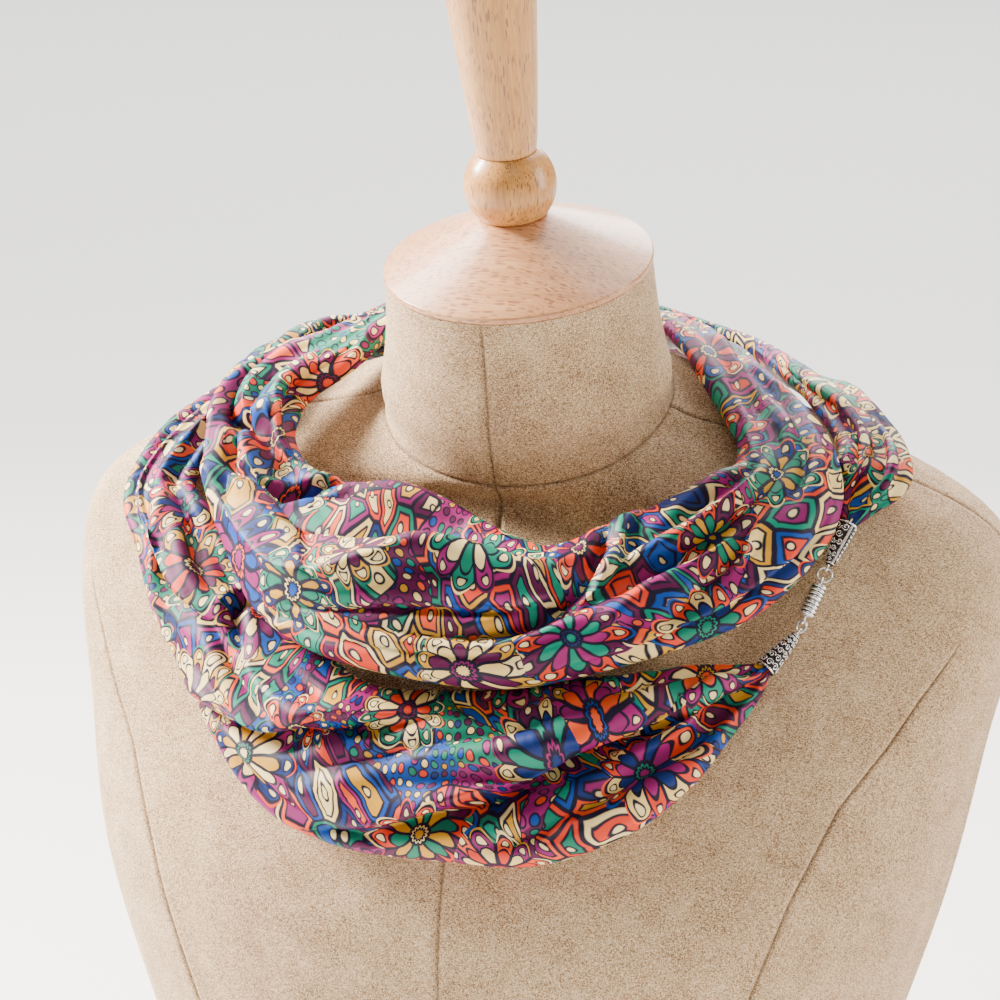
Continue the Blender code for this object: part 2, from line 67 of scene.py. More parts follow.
# The scarf from its lower cap to its upper one. Turn is degrees round the form, station counts its
# rings, lift is out from it to the section's middle, lean tips the upper edge outward.
scarfRow = namedtuple("scarfRow", "turn station lift width thickness lean")
scarfRows = [scarfRow(*row) for row in (
    (31.1, 6.93, 5, 5.0, 5.0, 0),  # 0, in the lower cap
    (29.1, 6.79, 6.5, 15, 9, 0),
    (24.9, 6.60, 11, 32, 16, 0),
    (20, 6.37, 15, 51, 22, 0),
    (14, 6.18, 17, 66, 26, 0),
    (7, 6.02, 18, 70, 28, 0),
    (0, 5.98, 18, 67, 28, 0),
    (-7, 5.98, 18, 64, 28, 0),
    (-13, 6.10, 17, 62, 25, 0),
    (-19, 6.36, 16, 57, 24, 0),
    (-26, 6.78, 16, 47, 24, 0),
    (-32, 7.15, 16, 43, 24, 0),
    (-38, 7.60, 15, 37, 21, 0),
    (-48, 8.09, 12, 33, 17, 0),
    (-64, 8.80, 10, 33, 14, 0),
    (-84, 9.23, 11, 35, 14, 8),  # 15, over the right shoulder
    (-106, 9.24, 14, 37, 14, 20),
    (-130, 9.12, 13, 37, 13, 16),
    (-155, 9.20, 10, 36, 12, 4),
    (-180, 9.44, 9, 35, 12, 0),
    (-205, 9.66, 9, 32, 12, 0),
    (-228, 9.72, 9, 32, 13, 0),
    (-248, 9.74, 10, 31, 15, 0),
    (-268, 9.60, 11, 34, 18, 0),  # 23, over the left shoulder
    (-288, 9.38, 14, 37, 22, 0),
    (-309, 9.00, 16, 45, 25, 0),
    (-324, 8.48, 20, 54, 28, 0),
    (-336, 7.86, 22, 60, 30, -4),
    (-344, 7.46, 26, 61, 32, -8),
    (-351, 7.17, 29, 58, 34, -10),
    (-357, 7.08, 31, 66, 36, -12),
    (-364, 7.24, 32, 79, 38, -12),
    (-371, 7.42, 30, 79, 36, -10),
    (-377.5, 7.64, 27, 63, 32, -8),
    (-386, 8.21, 23, 43, 26, -6),
    (-403, 8.98, 20, 36, 19, -10),
    (-424, 9.34, 21, 38, 16, -14),
    (-440, 9.56, 22, 36, 15, -14),  # 37, over the right shoulder again
    (-454, 9.76, 20, 34, 13, -10),
    (-477, 9.88, 17, 32, 12, -2),
    (-512, 9.66, 22, 31, 11, 0),
    (-540, 9.34, 22, 33, 11, 0),
    (-568, 9.05, 16, 30, 11, 0),
    (-592, 9.18, 9.5, 27, 12, 0),
    (-612, 9.20, 10, 28, 14, 0),
    (-632, 9.06, 10.5, 29, 16, 0),
    (-650, 8.84, 12, 30, 17, 0),
    (-661.5, 8.67, 7.5, 16, 11, 0),
    (-669.5, 8.44, 5, 5.0, 5.0, 0),  # 48, in the upper cap
)]
stretches = [
    ("scarf_lower_swag", 0, 15),
    ("scarf_back_lower", 15, 23),
    ("scarf_upper_swag", 23, 37),
    ("scarf_tail", 37, 48),
]

# The largest folds, which the solids have too: rows, places across (-1 lower edge, 1 upper), mm
bigFold = namedtuple("bigFold", "first last acrossFirst acrossLast rise breadth")
bigFolds = [bigFold(*row) for row in (
    (0.5, 7, 0.50, -0.25, -8, 0.24),
    (1, 6.5, 0.85, 0.20, 4, 0.24),
    (1, 6, -0.45, -0.35, -4, 0.22),
    (4, 8.5, -0.60, -0.65, -3, 0.22),
    (7, 10.5, 0.45, -0.70, 5, 0.24),
    (7.5, 11, 0.15, -0.98, -5, 0.24),
    (9.5, 12, 0.75, 0.55, -8, 0.26),
    (10.5, 17, -0.30, 0.05, -5, 0.24),
    (12, 19, 0.55, 0.60, -3, 0.22),
    (16, 24, -0.35, -0.20, -4, 0.24),
    (18, 27.5, 0.35, 0.50, -5, 0.24),
    (23.5, 29, -0.72, -0.78, -4, 0.22),
    (24, 31, -0.05, -0.15, -4, 0.24),
    (27, 29.5, 0.85, 0.10, -5, 0.24),
    (29, 35.5, 0.80, 0.45, -11, 0.28),
    (29, 36, 0.35, -0.05, 4, 0.24),
    (30, 35, -0.50, -0.65, -4, 0.24),
    (34, 40, -0.35, -0.15, -4, 0.24),
    (35.5, 43, 0.40, 0.35, -4, 0.24),
    (40, 45, -0.35, -0.45, -3, 0.24),
    (42, 47.6, 0.25, 0.00, -7, 0.26),
)]


# Curves and the form

def ease(rows, places):
    rows = np.asarray(rows, float)
    places = np.asarray(places, float)
    last = len(rows) - 1
    index = np.clip(places.astype(int), 0, last - 1)
    part = (places - index)[..., None]
    before, start, end, after = (rows[np.clip(index + step, 0, last)] for step in (-1, 0, 1, 2))
    bend = 2 * before - 5 * start + 4 * end - after
    twist = 3 * start - before - 3 * end + after
    return start + 0.5 * part * (end - before + part * (bend + part * twist))


def unit(vectors):
    return vectors / np.maximum(np.linalg.norm(vectors, axis=-1, keepdims=True), 1e-12)


def bell(place, breadth, middle=0):
    return np.exp(-(((place - middle) / breadth) ** 2))


def formPoints(stations, turns):
    rings = np.moveaxis(ease(formRings, stations), -1, 0)
    height, centre, tilt, halfWidth, front, back, squareness, roll = rings
    side, ahead = np.sin(turns), np.cos(turns)
    power = 2 / squareness
    across = halfWidth * np.sign(side) * np.abs(side) ** power
    forward = np.where(ahead > 0, front, back) * np.sign(ahead) * np.abs(ahead) ** power
    tilt, roll = np.radians(tilt), np.radians(roll)
    rise = across * np.sin(roll)
    ahead = centre - forward * np.cos(tilt) - rise * np.sin(tilt)
    level = height - forward * np.sin(tilt) + rise * np.cos(tilt)
    return mm * np.stack([across * np.cos(roll), ahead, level], axis=-1)


def formNormals(stations, turns):
    step = 0.02
    stations = np.asarray(stations, float)
    around = formPoints(stations, turns + step) - formPoints(stations, turns - step)
    higher = np.minimum(stations + step, len(formRings) - 1)
    lower = np.maximum(stations - step, 0)
    return unit(np.cross(around, formPoints(higher, turns) - formPoints(lower, turns)))


def aboveForm(turn, station, lift):
    angle = math.radians(turn)
    return formPoints(station, angle) + lift * mm * formNormals(station, angle)


# Mesh making

def deselectAll():
    if bpy.context.object and bpy.context.object.mode != "OBJECT":
        bpy.ops.object.mode_set(mode="OBJECT")
    bpy.ops.object.select_all(action="DESELECT")


def corners(*four):
    quads = np.stack(four, axis=2)
    return quads.reshape(-1, *quads.shape[2:])


def closedQuads(rings, sides):
    number = np.arange(rings * sides).reshape(rings, sides)
    after = np.roll(number, -1, axis=1)
    return number, after, corners(number[:-1], after[:-1], after[1:], number[1:])


def cornerUvs(patch):
    return corners(patch[:-1, :-1], patch[:-1, 1:], patch[1:, 1:], patch[1:, :-1])


def gridMesh(name, points, faces, uvs=None, normals=None):
    mesh = bpy.data.meshes.new(name)
    mesh.from_pydata(points.tolist(), [], faces)
    if uvs is not None:
        layer = mesh.uv_layers.new(name="UVMap")
        layer.data.foreach_set("uv", np.asarray(uvs, np.float32).ravel())
    mesh.shade_smooth()
    if normals is not None:
        mesh.normals_split_custom_set_from_vertices(normals.tolist())
    obj = bpy.data.objects.new(name, mesh)
    bpy.context.scene.collection.objects.link(obj)
    return obj


def finishPiece(obj, node):
    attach(obj, "root")
    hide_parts(node)


# Materials. Each maker of nodes works in the tree that its inputs come from.

def connect(value, socket):
    if isinstance(value, bpy.types.NodeSocket):
        socket.id_data.links.new(value, socket)
    else:
        socket.default_value = value


def addNode(kind, inputs, tree=None, **options):
    if tree is None:
        tree = next(v.id_data for v in inputs.values() if isinstance(v, bpy.types.NodeSocket))
    node = tree.nodes.new("ShaderNode" + kind)
    for option, value in options.items():
        setattr(node, option, value)
    for socket, value in inputs.items():
        if value is not None:
            connect(value, node.inputs[socket])
    return node


def maths(operation, *values):
    return addNode("Math", dict(enumerate(values)), operation=operation).outputs[0]


def vectorMaths(operation, first, second=None, scale=None):
    inputs = {0: first, 1: second, "Scale": scale}
    node = addNode("VectorMath", inputs, operation=operation)
    return node.outputs["Value" if operation == "LENGTH" else "Vector"]


def mixColours(factor, first, second):
    return addNode("Mix", {0: factor, 6: first, 7: second}, data_type="RGBA").outputs[2]


def ramp(value, stops, interpolation="LINEAR"):
    node = addNode("ValToRGB", {0: value})
    node.color_ramp.interpolation = interpolation
    elements = node.color_ramp.elements
    while len(elements) < len(stops):
        elements.new(1)
    for element, (place, colour) in zip(elements, stops):
        element.position = place
        element.color = colour if len(colour) == 4 else (*colour, 1)
    return node.outputs[0]


def grey(value):
    return (value, value, value)


def split(kind, value):
    return addNode("Separate" + kind, {0: value}).outputs


def startMaterial(name, roughness, metallic=0.0, **sockets):
    material = bpy.data.materials.new(name)
    material.use_nodes = True
    tree = material.node_tree
    shader = tree.nodes["Principled BSDF"]
    shader.inputs["Roughness"].default_value = roughness
    shader.inputs["Metallic"].default_value = metallic
    for socket, value in sockets.items():
        shader.inputs[socket.replace("_", " ")].default_value = value
    return material, tree, shader


def objectPlace(tree):
    return addNode("TexCoord", {}, tree).outputs["Object"]


def bump(shader, height, strength, distance):
    node = addNode("Bump", {"Strength": strength, "Distance": distance, "Height": height})
    connect(node.outputs[0], shader.inputs["Normal"])


def noise(vector, scale, detail=2.0, roughness=0.5, dimensions="3D"):
    inputs = {"Vector": vector, "Scale": scale, "Detail": detail, "Roughness": roughness}
    return addNode("TexNoise", inputs, noise_dimensions=dimensions).outputs


# The silk and its print

silk = {
    "outline": (0.007, 0.004, 0.020, 1),
    "cream": (0.90, 0.69, 0.31, 1),
    "palette": [
        (0.820, 0.085, 0.018),  # coral orange
        (0.001, 0.180, 0.105),  # teal green
        (0.300, 0.008, 0.135),  # magenta
        (0.860, 0.600, 0.200),  # cream
        (0.003, 0.055, 0.300),  # royal blue
        (0.620, 0.300, 0.018),  # gold
        (0.001, 0.230, 0.140),  # green
        (0.700, 0.040, 0.010),  # red orange
        (0.230, 0.006, 0.110),  # purple
        (0.900, 0.680, 0.290),  # pale cream
        (0.006, 0.022, 0.140),  # deep blue
        (0.100, 0.004, 0.050),  # plum
    ],
    "line": 0.56,  # mm, as are the sizes below
    "edge": 0.12,
    "drift": 18.0,
    "driftScale": 0.035,
    "tile": 8.6,
    "tileTurn": 0.7,  # radians
    "tileLength": 0.55,  # share
    "tileChance": 0.85,  # how unevenly they lie
    "tileLine": 0.5,
    "innerLine": 1.7,
    "dot": 0.8,
    "ribbonSpread": 70.0,
    "ribbonSwing": 110.0,
    "ribbonWidth": 3.4,
    "ribbonBead": 4.2,
    "ribbonBeadRadius": 1.15,
    "ribbonBeadChance": 0.3,
    "ribbonPatch": 34.0,
    "ribbonStops": [(0, 2), (0.35, 4), (0.6, 1), (0.85, 11)],  # and colours of the palette
    "rosette": 46.0,
    "rosetteChance": 0.6,
    "rosetteRadius": 18.5,
    "rosetteSize": (0.35, 0.78),  # how much it varies, and its least
    "petals": 12,
    "petalWave": (0.28, 0.80),
    "petalLine": 0.9,  # share of the line
    "petalBead": 14.4,
    "petalBeadRadius": 1.2,
    # where each band of a rosette starts, in mm, and its place in the palette
    "bands": [(0.0, 0.05), (2.2, 0.41), (3.8, 0.73), (11.6, 0.18), (17.2, 0.90)],
    "twill": 0.42,
    "twillSlope": 1.15,
    "roughness": 0.5,
}


def below(value, limit):
    edge = silk["edge"]
    inputs = {"Value": value, "From Min": limit - edge, "From Max": limit + edge, "To Min": 1, "To Max": 0}
    return addNode("MapRange", inputs).outputs[0]


def paletteColour(value):
    colours = silk["palette"]
    stops = [(index / len(colours), colour) for index, colour in enumerate(colours)]
    return ramp(value, stops, "CONSTANT")


def voronoi(vector, size, chance, feature="F1"):
    place = vectorMaths("SCALE", vector, scale=1 / size)
    inputs = {"Vector": place, "Scale": 1.0, "Randomness": chance}
    return addNode("TexVoronoi", inputs, voronoi_dimensions="2D", feature=feature).outputs, place


def drawLine(colour, distance, width):
    return mixColours(below(distance, width), colour, silk["outline"])


def drawDisc(colour, distance, radius, fill):
    colour = drawLine(colour, distance, radius + silk["line"])
    return mixColours(below(distance, radius), colour, fill)


def tiles(flat):
    size, chance, inner = silk["tile"], silk["tileChance"], silk["innerLine"]
    turned = addNode("Mapping", {"Vector": flat, "Rotation": (0, 0, silk["tileTurn"])}).outputs[0]
    flat = vectorMaths("MULTIPLY", turned, (1, silk["tileLength"], 0))
    cells, _ = voronoi(flat, size, chance)
    edges, _ = voronoi(flat, size, chance, "DISTANCE_TO_EDGE")
    picks = split("Color", cells["Color"])
    edge = maths("MULTIPLY", edges["Distance"], size)
    centre = maths("MULTIPLY", cells["Distance"], size)
    colour = mixColours(below(edge, inner), paletteColour(picks[1]), paletteColour(picks[0]))
    ring = maths("ABSOLUTE", maths("SUBTRACT", edge, inner))
    colour = drawLine(colour, ring, silk["line"] / 2)
    colour = drawDisc(colour, centre, silk["dot"], silk["cream"])
    return drawLine(colour, edge, silk["tileLine"])


def ribbons(flat, ground):
    size, width = silk["ribbonBead"], silk["ribbonWidth"]
    wander = noise(flat, 1 / silk["ribbonSpread"], 0.5, 0.5, "2D")[0]
    across = maths("MULTIPLY", maths("SUBTRACT", wander, 0.5), silk["ribbonSwing"])
    distance = maths("ABSOLUTE", across)
    beads, _ = voronoi(flat, size, silk["ribbonBeadChance"])
    bead = maths("MULTIPLY", beads["Distance"], size)
    patches, _ = voronoi(flat, silk["ribbonPatch"], 1.0)
    stops = [(stop, silk["palette"][index]) for stop, index in silk["ribbonStops"]]
    base = ramp(split("Color", patches["Color"])[0], stops, "CONSTANT")
    fill = paletteColour(split("Color", beads["Color"])[0])
    colour = drawDisc(base, bead, silk["ribbonBeadRadius"], fill)
    ground = drawLine(ground, distance, width + silk["line"])
    return mixColours(below(distance, width), ground, colour)


def rosettes(flat, ground):
    size, full, half = silk["rosette"], silk["rosetteRadius"], silk["petals"] / 2
    centres, place = voronoi(flat, size, silk["rosetteChance"])
    picks = split("Color", centres["Color"])
    away = vectorMaths("SUBTRACT", place, centres["Position"])
    away = vectorMaths("SCALE", away, scale=size)
    parts = split("XYZ", away)
    radius = vectorMaths("LENGTH", away)
    angle = maths("ARCTAN2", parts[1], parts[0])
    angle = maths("ADD", angle, maths("MULTIPLY", picks[1], 6.3))
    wave = maths("ABSOLUTE", maths("COSINE", maths("MULTIPLY", angle, half)))
    # level is the distance from the centre in a flower of full size with straight petals
    scallop = maths("MULTIPLY_ADD", wave, *silk["petalWave"])
    scallop = maths("MULTIPLY", scallop, maths("MULTIPLY_ADD", picks[2], *silk["rosetteSize"]))
    level = maths("DIVIDE", radius, scallop)
    stops = [(band / full, grey(pick)) for band, pick in silk["bands"]]
    pick = ramp(maths("DIVIDE", level, full), stops, "CONSTANT")
    pick = maths("ADD", maths("MULTIPLY", picks[0], 7.0), pick)
    # every other petal has another colour
    turned = maths("MULTIPLY_ADD", angle, half / math.pi, 0.5)
    sector = maths("FLOOR", turned)
    petalsStart = silk["bands"][2][0]
    other = maths("MULTIPLY", maths("PINGPONG", sector, 1.0), 0.33)
    other = maths("MULTIPLY", other, maths("GREATER_THAN", level, petalsStart))
    colour = paletteColour(maths("FRACT", maths("ADD", pick, other)))
    seam = maths("DIVIDE", maths("MULTIPLY", radius, wave), half)
    inside = maths("MULTIPLY", maths("LESS_THAN", level, petalsStart), 10.0)
    colour = drawLine(colour, maths("ADD", seam, inside), silk["line"])
    for band, _ in silk["bands"][1:]:
        gap = maths("ABSOLUTE", maths("SUBTRACT", level, band))
        colour = drawLine(colour, gap, silk["line"] * silk["petalLine"])
    # a bead in each outer petal
    middle = maths("SUBTRACT", maths("SUBTRACT", turned, sector), 0.5)
    sideways = maths("MULTIPLY", maths("MULTIPLY", middle, math.pi / half), radius)
    spot = addNode("CombineXYZ", {0: sideways, 1: maths("SUBTRACT", level, silk["petalBead"])})
    spot = vectorMaths("LENGTH", spot.outputs[0])
    colour = drawDisc(colour, spot, silk["petalBeadRadius"], silk["cream"])
    return mixColours(below(level, full), ground, colour)


def makeSilk():
    material, tree, shader = startMaterial("printed_silk", silk["roughness"], Specular_IOR_Level=0.22)
    uv = addNode("UVMap", {}, tree, uv_map="UVMap").outputs[0]
    fine = vectorMaths("SCALE", uv, scale=1000.0)
    # a slow warp, so that no line runs quite straight
    drift = noise(fine, silk["driftScale"], 1.5)["Color"]
    drift = vectorMaths("SUBTRACT", drift, grey(0.5))
    flat = vectorMaths("ADD", fine, vectorMaths("SCALE", drift, scale=silk["drift"]))
    flat = vectorMaths("MULTIPLY", flat, (1, 1, 0))
    colour = rosettes(flat, ribbons(flat, tiles(flat)))
    connect(colour, shader.inputs["Base Color"])
    # twill lines, a little uneven
    xyz = split("XYZ", fine)
    diagonal = maths("ADD", xyz[0], maths("MULTIPLY", xyz[1], silk["twillSlope"]))
    twill = maths("SINE", maths("MULTIPLY", diagonal, 2 * math.pi / silk["twill"]))
    height = maths("ADD", maths("MULTIPLY", twill, 0.25), noise(fine, 0.9, 3)[0])
    bump(shader, height, 0.25, 0.00012)
    return material


# Scarf surface

scarf = {
    "ringSpacing": 1.25,  # mm
    "sides": 128,
    "wall": 1.0,  # mm
    "stepsPerRow": 40,
    "foldThickness": 24,  # mm, below which the big folds shrink
    "gatherGirth": 75,  # mm round, below which the cloth is gathered
    "gatherReach": (26, 24),  # mm from the lower and the upper cap
    "pleats": 9,
    "pleatRise": 0.09,  # share of the section's radius
    "pleatGirth": 30,  # mm round, below which pleats shrink
    "creaseShare": 1.2,  # of the rises in the table below
    "creaseReach": 3.2,  # breadths
    "creaseGirth": 70,  # mm round, below which creases shrink
    "lapSoftness": 1.2,  # mm
    "lapSlide": 3.6,
    "lapSlideReach": 0.45,  # breadths
    "lapRound": 0.25,  # how far the edge of a lap is rounded off
    "lapUnder": (0.8, 0.55),  # the dip below it: depth in rises, reach in breadths
    "troughDepth": 0.8,  # rises
    "troughLine": (0.45, 0.35),  # the sharp line in its bottom, and its reach in breadths
    "troughBanks": (0.22, 1.9),  # height in rises, distance in breadths
    "creaseFade": 0.6,  # power of the sine that ends each crease
    "tuckSoftness": 1.5,
    "tuckReach": 4,  # breadths
    "wallGirth": 60,  # mm round, below which the wall thins
    "smallCreases": 150,
    "smallRise": (0.3, 1.1),
    "smallBreadth": (1.6, 3.4),
    "smallLength": (18, 70),
    "smallTroughs": 0.6,  # share of them
    "smallSpread": 0.27,  # share of the girth, to each side of the outer middle
    "smallSlope": 0.22,
    "smallBend": 3,  # mm
    "seed": 7,
}

crease = namedtuple("crease", "kind rise breadth tuck line")
# Lines run through (row, place across) points. A trough sinks, a ridge stands up, and a lap is a
# sharp edge whose upper side lies over the other. Rise, breadth and tuck, the cloth hidden in it, in mm.
creases = [crease(*row) for row in (
    # lower swag
    ("lap", 9.0, 11, 10, [(6.3, .62), (7.0, .52), (7.7, .32), (8.4, -.14), (8.9, -.47), (9.4, -.80),
        (9.7, -.99)]),
    ("trough", 3.4, 4, 3, [(6.3, -.90), (7.4, -.82), (8.2, -.85), (8.9, -.93)]),
    ("lap", 9.5, 10, 12, [(0.5, -.12), (1.6, -.03), (2.3, .03), (2.9, .14), (4.0, .17), (4.6, .10),
        (5.4, -.21), (5.9, -.41), (6.6, -.68), (7.2, -.9)]),
    ("trough", 3.6, 3.6, 5, [(1.4, -.40), (2.2, -.47), (2.6, -.53), (3.2, -.47), (3.9, -.50),
        (4.5, -.56), (5.2, -.74)]),
    ("trough", 2.8, 3.0, 3, [(0.6, -.10), (1.2, -.14), (1.8, -.21), (2.4, -.41), (2.9, -.50)]),
    ("trough", 3.2, 3.2, 4, [(0.5, .30), (1.1, .47), (1.9, .68), (2.7, .66), (3.8, .72)]),
    ("ridge", 2.2, 4.5, 0, [(1.2, .15), (2.2, .36), (3.4, .42), (5.0, .30), (6.2, .22)]),
    ("trough", 2.6, 4.0, 3, [(4.2, .52), (5.4, .40), (6.4, .20), (7.2, -.10), (7.8, -.45)]),
    ("ridge", 2.4, 5.0, 0, [(4.9, -.45), (5.8, -.72), (6.6, -.93)]),
    ("trough", 2.4, 3.4, 3, [(2.4, .88), (3.6, .55), (4.6, .44), (5.6, .62)]),
    ("trough", 5.0, 3.4, 5, [(9.4, .10), (9.9, .35), (10.1, .60), (10.0, .85)]),
    ("trough", 3.6, 3.0, 4, [(7.9, .12), (8.7, -.06), (9.4, -.10), (10.1, .05)]),
    ("lap", 4.0, 7.0, 5, [(10.0, .02), (10.7, -.20), (11.6, -.32), (12.8, -.35), (14.0, -.25)]),
    ("ridge", 2.6, 3.5, 0, [(10.8, -.78), (11.6, -.53), (12.2, .03), (12.9, .67)]),
    ("trough", 3.4, 3.5, 4, [(10.4, .30), (11.2, .38), (12.3, .55), (13.6, .62), (15.5, .55)]),
    ("trough", 2.4, 3.0, 2, [(11.6, -.72), (13.0, -.62), (14.8, -.45), (16.2, -.42)]),
    ("trough", 2.4, 2.8, 2, [(12.6, .10), (14.4, .12), (15.8, .22), (17.2, .20)]),
    # upper swag
    ("ridge", 6.5, 6.0, 0, [(29.2, .36), (30.1, .34), (30.8, .21), (31.3, -.10), (31.8, -.34),
        (32.4, -.46), (33.4, -.46), (34.2, -.72), (34.9, -.95)]),
    ("trough", 10.0, 12.0, 3, [(30.6, .64), (31.4, .42), (32.3, .16), (33.3, .10), (34.1, .25)]),
    ("lap", -6.5, 6.0, 6, [(31.9, -.42), (32.6, -.20), (33.2, -.13), (33.9, -.14), (34.4, -.40),
        (34.9, -.90)]),
    ("trough", 4.0, 3.2, 4, [(33.1, .98), (33.4, .72), (33.8, .25), (34.3, -.10)]),
    ("lap", 5.0, 7.0, 6, [(27.5, .98), (27.9, .77), (28.2, .34), (28.4, .07), (28.7, -.15)]),
    ("trough", 4.4, 3.2, 4, [(28.1, .96), (28.4, .53), (28.9, .00), (29.6, -.40), (30.2, -.62)]),
    ("lap", 3.6, 5.0, 5, [(25.2, -.78), (26.0, -.74), (26.8, -.72), (27.5, -.78), (28.2, -.88),
        (29.2, -.96)]),
    ("trough", 3.4, 3.2, 3, [(26.4, -.12), (26.9, -.34), (27.5, -.58), (28.2, -.86)]),
    ("ridge", 2.8, 4.2, 0, [(26.0, -.22), (27.0, -.14), (28.0, -.34), (28.8, -.62)]),
    ("trough", 3.0, 3.4, 3, [(24.8, .14), (26.2, .18), (27.4, .02), (28.4, -.16)]),
    ("trough", 2.8, 3.2, 2, [(25.2, .58), (26.4, .62), (27.3, .52), (28.1, .36)]),
    ("ridge", 2.2, 3.8, 0, [(24.4, .36), (25.8, .42), (27.2, .28), (28.1, .12)]),
    ("lap", 3.6, 7.0, 5, [(28.6, .02), (29.4, -.14), (30.4, -.30), (31.2, -.50), (31.8, -.66),
        (32.5, -.80)]),
    ("trough", 3.0, 3.2, 3, [(28.7, -.20), (29.5, -.45), (30.6, -.68), (31.6, -.78)]),
    ("trough", 2.6, 2.8, 2, [(29.2, -.62), (30.2, -.82), (31.2, -.90), (32.2, -.92), (33.2, -.92)]),
    ("ridge", 2.2, 3.6, 0, [(24.2, -.66), (24.9, -.50), (25.6, -.58), (26.3, -.52)]),
    ("trough", 2.6, 3.0, 2, [(22.5, -.30), (23.6, -.36), (24.8, -.20), (25.8, -.28)]),
    ("trough", 6.0, 3.6, 5, [(34.6, .55), (35.2, .20), (35.5, -.40), (36.2, -.70), (37.2, -.80)]),
    ("lap", -3.6, 6.0, 4, [(34.4, .88), (34.9, .80), (35.8, .55), (36.8, .50), (38.0, .62)]),
    ("trough", 3.0, 3.0, 3, [(33.9, -.62), (34.6, -.46), (35.4, -.10), (36.4, .02), (37.6, -.08)]),
    ("ridge", 2.4, 3.6, 0, [(33.4, -.92), (34.2, -.95), (35.1, -.90), (36.0, -.93)]),
    ("ridge", 2.2, 3.6, 0, [(34.4, .62), (35.4, .45), (36.4, .30), (37.6, .30)]),
    # behind the neck and the tail
    ("trough", 2.6, 3.0, 2, [(16.0, .45), (17.4, .62), (19.0, .55), (20.6, .60)]),
    ("lap", 2.8, 6.0, 4, [(17.4, .10), (19.0, -.14), (20.8, -.12), (22.4, .05), (23.6, .02)]),
    ("ridge", 2.0, 3.4, 0, [(16.4, -.60), (18.0, -.52), (19.8, -.62)]),
    ("trough", 2.4, 2.8, 2, [(19.6, -.70), (21.0, -.58), (22.6, -.66)]),
    ("lap", 3.4, 6.0, 4, [(37.6, .16), (39.2, .30), (40.8, .22), (42.2, .30), (43.4, .20)]),
    ("trough", 2.8, 3.0, 3, [(38.6, -.30), (40.2, -.22), (41.8, -.34), (43.2, -.30)]),
    ("ridge", 2.2, 3.6, 0, [(38.8, -.02), (40.4, -.08), (42.0, -.04)]),
    ("trough", 2.4, 2.8, 2, [(37.8, -.72), (39.4, -.78), (41.2, -.70)]),
    ("lap", -4.0, 6.0, 5, [(42.4, .96), (43.5, .92), (43.9, .80), (44.4, .60), (44.9, .50),
        (45.6, .31), (46.4, .20)]),
    ("trough", 2.8, 2.6, 2, [(45.2, .45), (45.7, .50), (46.2, .62), (47.2, .68)]),
    ("trough", 2.8, 2.6, 2, [(45.4, .16), (46.1, .22), (46.9, .28), (47.6, .30)]),
    ("trough", 2.8, 2.6, 2, [(45.0, -.02), (45.8, -.14), (46.6, -.20), (47.5, -.20)]),
    ("ridge", 2.2, 3.0, 0, [(45.3, -.12), (45.9, -.34), (46.3, -.42), (47.0, -.46)]),
    ("trough", 2.6, 2.6, 2, [(44.4, -.40), (45.2, -.56), (46.2, -.66), (47.2, -.66)]),
    ("trough", 2.4, 2.6, 2, [(42.6, -.10), (43.8, -.22), (44.9, -.16), (45.6, -.10)]),
)]


